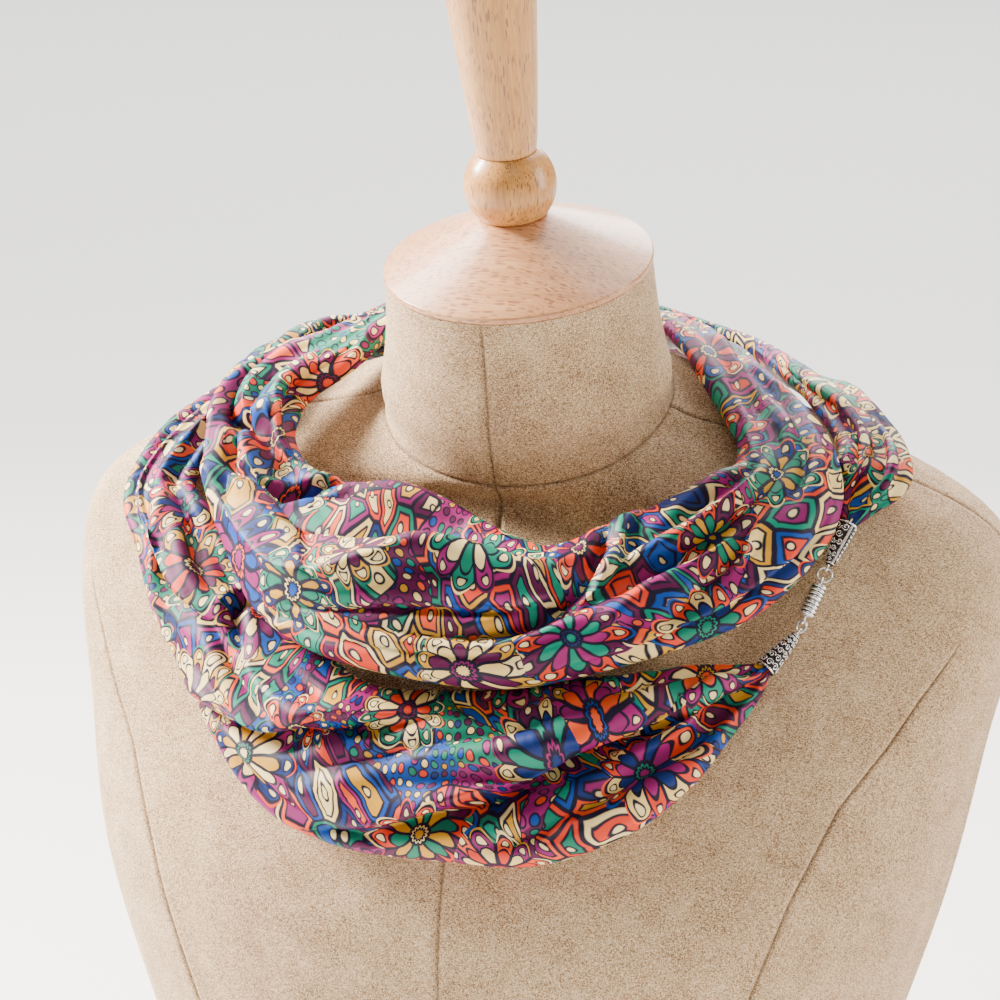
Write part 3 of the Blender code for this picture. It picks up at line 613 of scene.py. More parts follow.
def scarfGrid():
    count = len(scarfRows) - 1
    steps = scarf["stepsPerRow"]
    fine = np.linspace(0, count, count * steps + 1)
    rows = np.array(scarfRows, float)
    turns = np.radians(rows[:, 0])
    normals = formNormals(rows[:, 1], turns)
    middles = formPoints(rows[:, 1], turns) + rows[:, 2:3] * mm * normals
    path = ease(middles, fine)
    length = np.concatenate([[0], np.cumsum(np.linalg.norm(np.diff(path, axis=0), axis=1))])
    # rings at even distances, with one exactly on each end of a stretch
    places, stops = [], [0]
    for _, first, last in stretches:
        start, end = np.interp([first, last], fine, length)
        rings = round((end - start) / (scarf["ringSpacing"] * mm))
        even = np.interp(np.linspace(start, end, rings + 1), length, fine)
        places.extend(even[:-1])
        stops.append(stops[-1] + rings)
    places = np.array([*places, count])
    ahead = unit(ease(unit(np.gradient(path, axis=0))[::steps], places))
    outward = ease(normals, places)
    outward = unit(outward - ahead * np.sum(ahead * outward, axis=1, keepdims=True))
    upper = np.cross(ahead, outward)
    values = ease(rows, places)
    width, thickness, lean = values[:, 3:4], values[:, 4:5], np.radians(values[:, 5:6])
    across = upper * np.cos(lean) + outward * np.sin(lean)
    out = outward * np.cos(lean) - upper * np.sin(lean)
    # each section, from the middle of its inner side round by its upper edge
    angles = np.linspace(-math.pi / 2, 1.5 * math.pi, 361)
    cosine, sine = np.cos(angles), np.sin(angles)
    fold = np.zeros((len(places), len(angles)))
    for each in bigFolds:
        part = (places - each.first) / (each.last - each.first)
        fade = np.sin(math.pi * np.clip(part, 0, 1)) ** 0.7
        middle = each.acrossFirst + part * (each.acrossLast - each.acrossFirst)
        fold += each.rise * fade[:, None] * bell(cosine, each.breadth, middle[:, None])
    shrink = np.minimum(thickness / scarf["foldThickness"], 1)
    x = cosine * width / 2
    y = sine * thickness / 2 + fold * np.maximum(sine, 0) * shrink
    passed = np.hypot(np.diff(x, axis=1), np.diff(y, axis=1)).cumsum(axis=1)
    passed = np.concatenate([np.zeros((len(passed), 1)), passed], axis=1)
    girth = passed[:, -1]
    wanted = np.linspace(0, 1, scarf["sides"] + 1) * girth[:, None]
    x, y, theta = (
        np.array([np.interp(*ring) for ring in zip(wanted, passed, table)])
        for table in (x, y, np.broadcast_to(angles, x.shape))
    )
    middle = ease(middles, places)[:, None]
    outermost = passed[:, [len(angles) // 2]]
    return SimpleNamespace(
        places=places,
        stops=stops,
        along=np.interp(places, fine, length) / mm,
        ahead=ahead,
        girth=girth,
        theta=theta,
        round=outermost - wanted,  # mm from the outer middle, + to the upper edge
        angles=angles,
        roundAtAngles=outermost - passed,
        points=middle + mm * x[..., None] * across[:, None] + mm * y[..., None] * out[:, None],
    )


def gridNormals(points):
    closed = np.concatenate([points[:, -2:-1], points, points[:, 1:2]], axis=1)
    around = closed[:, 2:] - closed[:, :-2]
    along = np.gradient(points, axis=0)
    return unit(np.cross(along, around))


def lineOnGrid(grid, line):
    line = np.array(line, float)
    spots = ease(line, np.linspace(0, len(line) - 1, (len(line) - 1) * 24 + 1))
    rings = np.interp(spots[:, 0], grid.places, np.arange(len(grid.places)))
    rings = np.clip(np.round(rings).astype(int), 0, len(grid.places) - 1)
    turns = np.arccos(np.clip(spots[:, 1], -1, 1))
    around = [np.interp(turn, grid.angles, grid.roundAtAngles[ring]) for turn, ring in zip(turns, rings)]
    return np.interp(spots[:, 0], grid.places, grid.along), np.array(around)


def layCreases(grid):
    shape = grid.round.shape
    rise, slideAlong, slideRound, hidden = (np.zeros(shape) for _ in range(4))
    along = grid.along[:, None] + np.zeros(shape)
    allCreases = [(each, *lineOnGrid(grid, each.line)) for each in creases] + smallCreases(grid)
    for each, lineAlong, lineRound in allCreases:
        breadth = each.breadth
        reach = scarf["creaseReach"] * breadth
        rows = (grid.along > lineAlong.min() - reach) & (grid.along < lineAlong.max() + reach)
        rows = np.where(rows)[0]
        rows = slice(rows[0], rows[-1] + 1)
        beside = grid.round[rows]
        near = np.abs(beside - np.clip(beside, lineRound.min(), lineRound.max())) < reach
        u, v = along[rows][near], beside[near]
        squares = (u[:, None] - lineAlong) ** 2 + (v[:, None] - lineRound) ** 2
        nearest = squares.argmin(axis=1)
        distance = np.sqrt(squares[np.arange(len(u)), nearest])
        # the line's own way at the nearest spot, and the distance from it, + on its upper side
        wayAlong, wayRound = np.gradient(lineAlong), np.gradient(lineRound)
        size = np.hypot(wayAlong, wayRound) + 1e-9
        wayAlong, wayRound = (wayAlong / size)[nearest], (wayRound / size)[nearest]
        side = np.sign(wayAlong * (v - lineRound[nearest]) - wayRound * (u - lineAlong[nearest]))
        heading = np.sign(lineAlong[-1] - lineAlong[0])
        signed = distance * side * heading
        part = nearest / (len(lineAlong) - 1)
        fade = np.sin(math.pi * np.clip(part, 0.02, 0.98)) ** scarf["creaseFade"]
        if each.kind == "lap":
            way = 1 if each.rise > 0 else -1
            over = 0.5 * (1 + np.tanh(way * signed / scarf["lapSoftness"]))
            decay = np.exp(-distance / breadth)
            depth, spread = scarf["lapUnder"]
            under = (1 - over) * depth * np.exp(-distance / (spread * breadth))
            height = abs(each.rise) * (over * decay * (1 - scarf["lapRound"] * decay) - under)
            pull = np.exp(-distance / (scarf["lapSlideReach"] * breadth))
            slide = -way * scarf["lapSlide"] * over * pull * fade
            slide *= heading
            slideAlong[rows][near] += slide * -wayRound
            slideRound[rows][near] += slide * wayAlong
        elif each.kind == "ridge":
            height = each.rise * bell(distance, breadth)
        else:
            share, spread = scarf["troughLine"]
            dip = bell(distance, breadth) + share * np.exp(-distance / (spread * breadth))
            share, away = scarf["troughBanks"]
            banks = share * each.rise * bell(distance, breadth, away * breadth)
            height = -each.rise * scarf["troughDepth"] * dip + banks
        rise[rows][near] += scarf["creaseShare"] * height * fade
        tuck = 0.5 * each.tuck * np.tanh(signed / scarf["tuckSoftness"])
        hidden[rows][near] += tuck * fade * np.exp(-distance / (scarf["tuckReach"] * breadth))
    outer = np.clip(np.sin(grid.theta) + 0.35, 0, 1) ** 0.5
    small = np.clip(grid.girth / scarf["creaseGirth"], 0, 1)[:, None]
    return rise * outer * small, slideAlong * outer * small, slideRound * outer * small, hidden


def smallCreases(grid):
    random = np.random.default_rng(scarf["seed"])
    found = []
    spread = scarf["smallSpread"]
    for _ in range(scarf["smallCreases"]):
        start = random.uniform(0, grid.along[-1] - 30)
        length = random.uniform(*scarf["smallLength"])
        ring = np.searchsorted(grid.along, start)
        middle = random.uniform(-spread, spread) * grid.girth[ring]
        slope = random.normal(0, scarf["smallSlope"])
        bend = random.normal(0, scarf["smallBend"])
        part = np.linspace(0, 1, 30)
        lineAlong = np.minimum(start + part * length, grid.along[-1] - 1)
        lineRound = middle + slope * part * length + bend * np.sin(math.pi * part)
        kind = "trough" if random.uniform() < scarf["smallTroughs"] else "ridge"
        rise, breadth = random.uniform(*scarf["smallRise"]), random.uniform(*scarf["smallBreadth"])
        found.append((crease(kind, rise, breadth, 0, None), lineAlong, lineRound))
    return found


def makeScarf():
    material = makeSilk()
    grid = scarfGrid()
    rise, slideAlong, slideRound, hidden = layCreases(grid)
    normals = gridNormals(grid.points)
    ahead = grid.ahead[:, None]
    around = unit(np.cross(normals, ahead))
    # gathers that fan out of each cap
    low, high = scarf["gatherReach"]
    gather = bell(grid.along, low) + bell(grid.along, high, grid.along[-1])
    shrink = np.clip(grid.girth / scarf["pleatGirth"], 0, 1)
    pleats = scarf["pleatRise"] * gather * grid.girth / 6.3 * shrink
    wave = np.sin(scarf["pleats"] * grid.theta + 0.8 * np.sin(2 * grid.theta))
    rise = rise + pleats[:, None] * wave
    moved = normals * rise[..., None] + ahead * slideAlong[..., None] - around * slideRound[..., None]
    points = grid.points + mm * moved
    points[:, -1] = points[:, 0]
    shading = gridNormals(points)
    shading[:, -1] = shading[:, 0]
    wall = scarf["wall"] * mm * np.minimum(1, grid.girth / scarf["wallGirth"])[:, None, None]
    inner = points - wall * unit(normals + shading)
    stretch = np.maximum(1, scarf["gatherGirth"] / grid.girth)[:, None] ** 0.8
    along = grid.along[:, None] + np.zeros_like(grid.round)
    uv = mm * np.stack([along, grid.round * stretch + hidden], axis=-1)
    turned = [0, 3, 2, 1]  # the other way round, from the same corner
    for (name, *_), start, end in zip(stretches, grid.stops, grid.stops[1:]):
        part = slice(start, end + 1)
        number, after, quads = closedQuads(end + 1 - start, scarf["sides"])
        quads = quads[:, turned]
        total = number.size
        ends = [
            np.stack([first, second, second + total, first + total], axis=-1)
            for first, second in ((number[0], after[0]), (after[-1], number[-1]))
        ]
        faces = np.concatenate([quads, quads[:, ::-1] + total, *ends])
        outer, inside, outNormals = (each[part, :-1].reshape(-1, 3) for each in (points, inner, shading))
        patch = uv[part]
        quadUvs = cornerUvs(patch)[:, turned]
        endUvs = [
            np.stack([patch[ring, :-1], patch[ring, 1:], patch[ring, 1:], patch[ring, :-1]], axis=1)
            for ring in (0, -1)
        ]
        obj = gridMesh(
            name + "_silk",
            np.concatenate([outer, inside]),
            faces.tolist(),
            np.concatenate([quadUvs, quadUvs[:, ::-1], *endUvs]),
            np.concatenate([outNormals, -outNormals]),
        )
        obj.data.materials.append(material)
        finishPiece(obj, name)
    print("scarf made:", len(grid.places), "rings")


# The dress form

linen = {
    "colour": (0.52, 0.315, 0.150),
    "dark": (0.12, 0.052, 0.020),
    "light": (0.90, 0.68, 0.43),
    "roughness": 0.9,
    "thread": 0.29,  # mm
    "threadLength": 0.28,  # share of the noise across it
    "speckle": 1.1,
    "patches": 0.14,
    "toneShift": 0.62,
    # painted shade for the seam grooves
    "seam": (0.10, 0.045, 0.018, 1),
}


def makeLinen():
    material, tree, shader = startMaterial(
        "linen", linen["roughness"], Sheen_Weight=0.06, Sheen_Roughness=0.5
    )
    threads = vectorMaths("SCALE", objectPlace(tree), scale=1000.0 / linen["thread"])
    # short lengths of thicker and thinner thread both ways, dark flecks between, and slow patches
    long = linen["threadLength"]
    upright = noise(vectorMaths("MULTIPLY", threads, (1.0, 1.0, long)), 1, 1, 0.5)[0]
    level = noise(vectorMaths("MULTIPLY", threads, (long, long, 1.0)), 1, 1, 0.5)[0]
    speckle = noise(threads, 1.05, 2, 0.8)[0]
    patches = noise(threads, 0.02, 2)[0]
    slub = maths("MULTIPLY", maths("ADD", upright, level), 0.5)
    tone = maths("ADD", slub, maths("MULTIPLY", speckle, linen["speckle"]))
    tone = maths("ADD", tone, maths("MULTIPLY", patches, linen["patches"]))
    tone = maths("SUBTRACT", tone, linen["toneShift"])
    places, tones = (0.38, 0.48, 0.52, 0.62), ("dark", "colour", "colour", "light")
    colour = ramp(tone, [(place, linen[each]) for place, each in zip(places, tones)])
    # painted shade along the sewn seams, where their grooves lie, broken up stitch by stitch
    seam = addNode("Attribute", {}, tree, attribute_name="seam").outputs["Fac"]
    seamShadeNoise = noise(vectorMaths("SCALE", threads, scale=0.22), 1, 1)[0]
    share = maths("MULTIPLY", seam, maths("MULTIPLY_ADD", seamShadeNoise, 1.2, -0.05))
    connect(mixColours(share, colour, linen["seam"]), shader.inputs["Base Color"])
    bump(shader, tone, 0.6, 0.00025)
    return material


form = {
    "panelColumns": 30,  # between one seam and the next
    "ringSpacing": 4.5,  # mm
    "frontSeam": [  # station and turn of the seam from the bust to the armhole
        (0, 36), (2, 34), (4, 38.5), (4.75, 41.5), (5.3, 44), (5.9, 48.5),
        (6.3, 54.5), (6.65, 58.5), (7.1, 66), (8, 62), (9.5, 52), (13, 45),
    ],
    "backSeamTurn": 142,
    "seamTop": 7.0,  # the station where the curved seams run out
    "neckSeam": 10.03,
    "neckSeamClear": 0.2,  # stations beside it that have only the rings below
    "neckSeamSteps": (0.017, 0.035, 0.06, 0.1, 0.16),
    "neckSeamRise": 0.2,  # stations, at the sides
    "grooveDepth": 0.8,  # mm
    "grooveWidth": 0.7,
    "puff": 0.35,
    "panelPuff": (3.2, 2.2),  # mm from the seam, and breadth
    "neckPuff": (3.0, 2.0),
    # mm, the width of the painted shade along each seam
    "seamShadeWidth": 0.6,
    "seamFade": 12,  # how sharply the curved seams end
    "edgeFade": 6,  # mm from the hem and the top, without grooves
    "sharpAngle": 50,
}


def sewnGroove(distance, puffAt, puffBreadth):
    puff = form["puff"] * bell(distance, puffBreadth, puffAt)
    return puff - form["grooveDepth"] * bell(distance, form["grooveWidth"])


def makeForm():
    top = len(formRings) - 1
    seam = form["neckSeam"]
    fine = np.linspace(0, top, 400)
    heights = ease(formRings, fine)[:, 0]
    levels = np.arange(0, heights[-1], form["ringSpacing"])
    stations = [*np.interp(levels, heights, fine), top]
    stations = [each for each in stations if abs(each - seam) > form["neckSeamClear"]]
    stations += [seam + step * side for step in form["neckSeamSteps"] for side in (-1, 1)] + [seam]
    stations = np.array(sorted(stations))
    # the seams' turns at each station, round from the front
    zero = np.zeros_like(stations)
    front = np.interp(stations, *np.transpose(form["frontSeam"]))
    seams = [zero, front, zero + 90, zero + form["backSeamTurn"], zero + 180]
    seams += [360 - each for each in seams[-2::-1]]
    columns = form["panelColumns"]
    even = np.linspace(0, 1, columns + 1)[:-1]
    even = even - 0.14 * np.sin(2 * math.pi * even)  # denser beside the seams
    turns = [left[:, None] + (right - left)[:, None] * even for left, right in zip(seams, seams[1:])]
    turns = np.radians(np.concatenate(turns, axis=1))
    grid = stations[:, None] + np.zeros_like(turns)
    grid = grid + form["neckSeamRise"] * np.sin(turns) ** 2 * bell(grid, 0.9, seam)
    points = formPoints(grid, turns)
    # grooves where the panels are sewn, with the linen a little puffed beside them, and painted shade along
    # them
    sink, seamShade = np.zeros_like(turns), np.zeros_like(turns)
    around = np.linalg.norm(np.roll(points, -1, axis=1) - points, axis=-1) / mm
    travelled = np.concatenate([np.zeros((len(points), 1)), around.cumsum(axis=1)], axis=1)
    for index in range(len(seams) - 1):
        distance = np.abs(travelled[:, :-1] - travelled[:, [index * columns]])
        distance = np.minimum(distance, travelled[:, -1:] - distance)
        # the front seam runs on up the neck, and the curved ones, every other one, run out
        shown = (stations[:, None] < seam + 0.02) if index else np.ones_like(turns)
        if index % 2:
            shown = shown / (1 + np.exp((stations[:, None] - form["seamTop"]) * form["seamFade"]))
        sink += sewnGroove(distance, *form["panelPuff"]) * shown
        seamShade = np.maximum(seamShade, bell(distance, form["seamShadeWidth"]) * shown)
    upward = np.linalg.norm(np.diff(points, axis=0), axis=-1) / mm
    climbed = np.concatenate([np.zeros((1, points.shape[1])), upward.cumsum(axis=0)])
    distance = np.abs(climbed - climbed[np.argmin(np.abs(stations - seam))])
    sink += sewnGroove(distance, *form["neckPuff"])
    seamShade = np.maximum(seamShade, bell(distance, form["seamShadeWidth"]))
    edge = np.minimum(1, np.minimum(climbed, climbed[-1] - climbed) / form["edgeFade"])
    points = points + mm * (sink * edge)[..., None] * formNormals(grid, turns)
    number, _, quads = closedQuads(*turns.shape)
    across = (travelled - travelled[:, -1:] / 2) * mm
    high = np.concatenate([climbed, climbed[:, :1]], axis=1) * mm
    sideUvs = cornerUvs(np.stack([across, high], axis=-1)).reshape(-1, 2)
    endUvs = np.concatenate([points[0, ::-1, :2], points[-1, :, :2]])
    faces = [*quads.tolist(), number[0, ::-1].tolist(), number[-1].tolist()]
    obj = gridMesh("form_torso_linen", points.reshape(-1, 3), faces, np.concatenate([sideUvs, endUvs]))
    obj.data.set_sharp_from_angle(angle=math.radians(form["sharpAngle"]))
    # the painted seam shade, which the linen's colour reads
    obj.data.attributes.new("seam", "FLOAT", "POINT").data.foreach_set("value", seamShade.ravel())
    obj.data.materials.append(makeLinen())
    finishPiece(obj, "form_torso")
    print("form made:", len(faces), "faces")


makeForm()
makeScarf()


# Turned wood

wood = {
    "capRim": 2.4,  # mm above the neck top, along the neck's axis
    "capTop": 22.3,
    "capTopRadius": 13.5,
    "capOverhang": 0.6,
    "capEdge": 0.6,
    "capUpperEdge": (1.6, 0.4),  # radius, and centre below the rim, in edges
    "capSwell": 0.3,  # the cone is turned a touch full
    "gap": 0.3,
    "ballCentre": 35.1,
    "ballRadius": 18.6,
    "handleFoot": 49.5,
    "handleGap": 0.05,
    "handleFootRadius": 12.0,
    "handleTop": 136.9,
    "handleTopRadius": 19.2,
    "handleCrown": 6.0,
    "handleFlarePower": 0.85,
    # the grain runs across the cap, and along the ball and the handle
    "beech_cap": {
        "tones": [(0.54, 0.225, 0.09), (0.66, 0.305, 0.13), (0.75, 0.39, 0.18)],
        "ringAxes": (0, 1, 1),
        "pith": (0, 60, -75),  # mm
        "fibre": (0.05, 1.2, 1.2),
        "fleck": (0.22, 1.15, 1.15),
        "fleckLimit": 0.34,
        "fleckShare": 0.75,
    },
    "beech_turned": {
        "tones": [(0.50, 0.20, 0.038), (0.62, 0.28, 0.065), (0.74, 0.38, 0.10)],
        "ringAxes": (1, 1, 0),
        "pith": (34, 22, 0),
        "fibre": (1.2, 1.2, 0.05),
        "fleck": (1.25, 1.25, 0.17),
        "fleckLimit": 0.44,
        "fleckShare": 0.95,
    },
    "tonePlaces": (0.32, 0.5, 0.7),
    "wobble": 5.0,  # mm
    "ringPitch": 0.95,  # radians for each mm
    "ringSharpness": 5.0,
    "ringShare": 0.28,
    "ringTone": (0.40, 0.17, 0.065, 1),
    "fleckEdge": 6.0,
    "fleckTone": (0.27, 0.10, 0.04, 1),
    "lean": -0.9,  # degrees to the form's right, of the handle and of the cap's top
    "tip": -2.2,  # degrees forward
    "sides": 72,
}


def leaning(share):
    tip = Matrix.Rotation(math.radians(wood["tip"] * share), 4, "X")
    return tip @ Matrix.Rotation(math.radians(wood["lean"] * share), 4, "Y")


def turnedPiece(name, profile, sides, place, leans=False):
    deselectAll()
    radius, height = profile[0]
    bpy.ops.mesh.primitive_circle_add(vertices=sides, radius=radius * mm, fill_type="NGON")
    obj = bpy.context.object
    obj.name = name
    bpy.ops.object.mode_set(mode="EDIT")
    bpy.ops.mesh.select_all(action="SELECT")
    bpy.ops.transform.translate(value=(0, 0, height * mm))
    for nextRadius, nextHeight in profile[1:]:
        rise = (0, 0, (nextHeight - height) * mm)
        bpy.ops.mesh.extrude_region_move(TRANSFORM_OT_translate={"value": rise})
        factor = nextRadius / radius
        bpy.ops.transform.resize(value=(factor, factor, 1))
        radius, height = nextRadius, nextHeight
    bpy.ops.mesh.select_all(action="SELECT")
    bpy.ops.mesh.normals_make_consistent(inside=False)
    bpy.ops.object.mode_set(mode="OBJECT")
    if leans:
        rim, top = wood["capRim"] * mm, wood["capTop"] * mm
        for vertex in obj.data.vertices:
            share = max(0, (vertex.co.z - rim) / (top - rim))
            vertex.co = leaning(share) @ vertex.co
    bpy.ops.object.shade_smooth_by_angle(angle=math.radians(32))
    obj.matrix_world = place
    bpy.ops.object.transform_apply(location=True, rotation=True, scale=True)
    return obj


def arc(centre, radius, first, last, steps):
    x, y = centre
    turns = [math.radians(first + (last - first) * step / steps) for step in range(steps + 1)]
    return [(x + radius * math.cos(turn), y + radius * math.sin(turn)) for turn in turns]


def makeBeech(name):
    grain = wood[name]
    material, tree, shader = startMaterial(
        name, 0.38, Coat_Weight=0.35, Coat_Roughness=0.16, Specular_IOR_Level=0.4
    )
    turned = {"Vector": objectPlace(tree), "Rotation": (-math.radians(neckTop.tilt), 0, 0)}
    flat = vectorMaths("SCALE", addNode("Mapping", turned).outputs[0], scale=1000.0)
    wobble = noise(flat, 0.035, 2)["Color"]
    flat = vectorMaths("ADD", flat, vectorMaths("SCALE", wobble, scale=wood["wobble"]))
    # growth rings round a pith outside the piece, fine pores and short dark flecks along the grain
    away = vectorMaths("MULTIPLY", vectorMaths("ADD", flat, grain["pith"]), grain["ringAxes"])
    rings = maths("SINE", maths("MULTIPLY", vectorMaths("LENGTH", away), wood["ringPitch"]))
    rings = maths("POWER", maths("MULTIPLY_ADD", rings, 0.5, 0.5), wood["ringSharpness"])
    pores = noise(vectorMaths("MULTIPLY", flat, grain["fibre"]), 1, 3, 0.6)[0]
    stretched = vectorMaths("MULTIPLY", flat, grain["fleck"])
    inputs = {"Vector": stretched, "Scale": 1.0, "Randomness": 1.0}
    cells = addNode("TexVoronoi", inputs).outputs
    chance = split("Color", cells["Color"])[0]
    size = maths("MAXIMUM", maths("SUBTRACT", chance, grain["fleckLimit"]), 0.0)
    fleck = maths("MULTIPLY", maths("SUBTRACT", size, cells["Distance"]), wood["fleckEdge"])
    fleck = ramp(fleck, [(0.0, grey(0)), (0.35, grey(1))])
    base = ramp(pores, list(zip(wood["tonePlaces"], grain["tones"])))
    base = mixColours(maths("MULTIPLY", rings, wood["ringShare"]), base, wood["ringTone"])
    strength = maths("MULTIPLY", fleck, grain["fleckShare"])
    connect(mixColours(strength, base, wood["fleckTone"]), shader.inputs["Base Color"])
    bump(shader, maths("SUBTRACT", pores, fleck), 0.12, 0.00015)
    return material


def makeWood():
    tilt = Matrix.Rotation(math.radians(neckTop.tilt), 4, "X")
    roll = Matrix.Rotation(math.radians(-neckTop.roll), 4, "Y")
    place = Matrix.Translation(Vector((0, neckTop.centre, neckTop.height)) * mm) @ tilt @ roll
    alongGrain, acrossGrain = makeBeech("beech_turned"), makeBeech("beech_cap")
    gap, edge, capTop = wood["gap"], wood["capEdge"], wood["capTop"]
    rim = neckTop.halfWidth + wood["capOverhang"]
    lower = arc((rim - edge, gap + edge), edge, -90, 0, 5)
    rounding, drop = (share * edge for share in wood["capUpperEdge"])
    upper = arc((rim - rounding, wood["capRim"] - drop), rounding, 0, 66, 8)
    (startRadius, startHeight), slopeEnd = upper[-1], (wood["capTopRadius"] + 1.0, capTop - 0.4)
    slope = []
    for step in range(1, 12):
        part = step / 12
        height = startHeight + part * (slopeEnd[1] - startHeight)
        height += wood["capSwell"] * math.sin(math.pi * part)
        slope.append((startRadius + part * (slopeEnd[0] - startRadius), height))
    flatTop = [slopeEnd, (wood["capTopRadius"], capTop), (1, capTop)]
    cap = [(rim - 8, gap), *lower, *upper, *slope, *flatTop]
    radius, centre = wood["ballRadius"], wood["ballCentre"]
    ballFoot = math.degrees(math.asin((centre - capTop - gap) / radius))
    ballTop = math.degrees(math.asin((wood["handleFoot"] - gap - centre) / radius))
    sphere = arc((0, centre), radius, -ballFoot, ballTop, 26)
    ball = [(2, capTop + gap), *sphere, (2, wood["handleFoot"] - gap)]
    foot, top = wood["handleFoot"] - gap + wood["handleGap"], wood["handleTop"]
    crown, footRadius, topRadius = wood["handleCrown"], wood["handleFootRadius"], wood["handleTopRadius"]
    handle = [(2, foot), (footRadius - 0.7, foot), (footRadius - 0.2, foot + 0.2), (footRadius, foot + 0.7)]
    for step in range(1, 16):
        part = step / 16
        flare = (topRadius - footRadius) * part ** wood["handleFlarePower"]
        handle.append((footRadius + flare, foot + (top - crown - foot) * part))
    handle += [*arc((topRadius - crown, top - crown), crown, 0, 88, 10), (2, top)]
    leaned = place @ leaning(1)
    for node, profile, material, where, leans in (
        ("form_neck_cap", cap, acrossGrain, place, True),
        ("form_ball", ball, alongGrain, leaned, False),
        ("form_handle", handle, alongGrain, leaned, False),
    ):
        obj = turnedPiece(node + "_wood", profile, wood["sides"], where, leans)
        obj.data.materials.append(material)
        finishPiece(obj, node)
    print("wood turned")


makeWood()


# Metal: cone caps with scrolls, jump ring, link and clasp

chain = {
    "coneLength": 18.5,
    "mouthRadius": 4.3,
    "tipRadius": 1.8,
    "wall": 0.6,
    "depth": 5.0,
    "swell": 0.2,
    "silkInCone": 0.7,
    "eyeRadius": 1.7,
    "eyeWire": 0.45,
    "eyeSink": 0.2,
    "ringRadius": 2.9,
    "ringWire": 0.5,
    "linkRadius": 2.5,
    "linkWidth": 0.72,  # share of its length
    "claspRadius": 3.6,
    "claspEnd": 0.8,
    "groove": 0.55,
    "ribs": 4,
    "lift": 4.6,
    "upperTip": (41.3, 7.98),  # turn and station
    "lowerTip": (34.6, 7.21),
    "scrollWire": 0.23,
    "scrollRaise": 0.12,
    "scrollTurns": 1.35,
    # each row's height on the cone, and the size of its scrolls
    "scrollRows": [(2.4, 1.55), (5.7, 1.45), (8.8, 1.3), (11.7, 1.12), (14.2, 0.95), (16.3, 0.8)],
    "ribTurn": -0.5,  # radians
    "plainArc": 1.5,
    "barPitch": 1.75,
    "rims": ((0.3, 0.42), (17.9, 0.36)),  # level and wire
}


def makeSilver(name, bright, dark, roughness):
    material, tree, shader = startMaterial(name, roughness, 1.0)
    tarnish = noise(objectPlace(tree), 1100, 3, 0.65)[0]
    connect(ramp(tarnish, [(0.36, dark), (0.52, bright)]), shader.inputs["Base Color"])
    connect(maths("MULTIPLY_ADD", tarnish, -0.25, roughness + 0.14), shader.inputs["Roughness"])
    return material


brightSilver = makeSilver("antique_silver", (0.90, 0.89, 0.87), (0.50, 0.48, 0.46), 0.22)
darkSilver = makeSilver("oxidised_silver", (0.055, 0.05, 0.05), (0.02, 0.018, 0.02), 0.42)


def frameAt(origin, axis, up):
    z = Vector(axis).normalized()
    x = (Vector(up) - z * z.dot(Vector(up))).normalized()
    y = z.cross(x)
    return Matrix.Translation(Vector(origin)) @ Matrix((x, y, z)).transposed().to_4x4()


def tube(name, points, radii, sides):
    points = np.array(points, float)
    radii = np.broadcast_to(radii, len(points))
    ahead = unit(np.gradient(points, axis=0))
    side = unit(np.cross(ahead[0], (0.31, 0.77, 0.55)))
    angles = np.linspace(0, 2 * math.pi, sides, endpoint=False)
    rings = []
    for point, radius, way in zip(points, radii, ahead):
        side = unit(side - way * side.dot(way))
        other = np.cross(way, side)
        rings.append(point + radius * (np.cos(angles)[:, None] * side + np.sin(angles)[:, None] * other))
    number, _, quads = closedQuads(len(rings), sides)
    faces = [*quads.tolist(), number[0, ::-1].tolist(), number[-1].tolist()]
    obj = gridMesh(name, np.concatenate(rings), faces)
    obj.data.materials.append(brightSilver)
    return obj


def finishMetal(node, pieces):
    obj = pieces[0]
    if len(pieces) > 1:
        deselectAll()
        for piece in pieces:
            piece.select_set(True)
        bpy.context.view_layer.objects.active = obj
        bpy.ops.object.join()
    obj.name = obj.data.name = node + "_silver"
    finishPiece(obj, node)


def wireRing(name, place, radius, wire, squeeze=1.0):
    opening = 0.02
    turns = np.linspace(opening, 2 * math.pi - opening, 49)
    points = [place @ (Vector((math.cos(turn) * squeeze, 0, math.sin(turn))) * radius * mm) for turn in turns]
    return tube(name, points, wire * mm, 12)


def coneRadius(height):
    part = height / chain["coneLength"]
    straight = chain["mouthRadius"] + part * (chain["tipRadius"] - chain["mouthRadius"])
    return straight + chain["swell"] * math.sin(math.pi * part)


def onCone(place, turn, level, raised):
    radius = coneRadius(level) + raised
    return place @ (Vector((radius * math.cos(turn), radius * math.sin(turn), level)) * mm)


def scroll(place, turn, height, size, hand):
    last = chain["scrollTurns"] * 2 * math.pi
    raised = chain["scrollRaise"]
    points, radii = [], []
    for angle in np.linspace(0, last, 34):
        part = angle / last
        reach = size * (0.20 + 0.80 * part)
        sideways, up = hand * reach * math.cos(angle + 0.9), reach * math.sin(angle + 0.9)
        level = min(max(height + up, 0.2), chain["coneLength"] - 0.4)
        points.append(onCone(place, turn + sideways / (coneRadius(level) + raised), level, raised))
        radii.append(chain["scrollWire"] * mm * (0.8 + 0.5 * math.sin(math.pi * part)))
    return tube("scroll", points, radii, 6)


def barOnCone(place, turns, levels, raised, wire):
    points = [onCone(place, turn, level, raised) for turn, level in zip(turns, levels)]
    return tube("bar", points, wire * mm, 8)


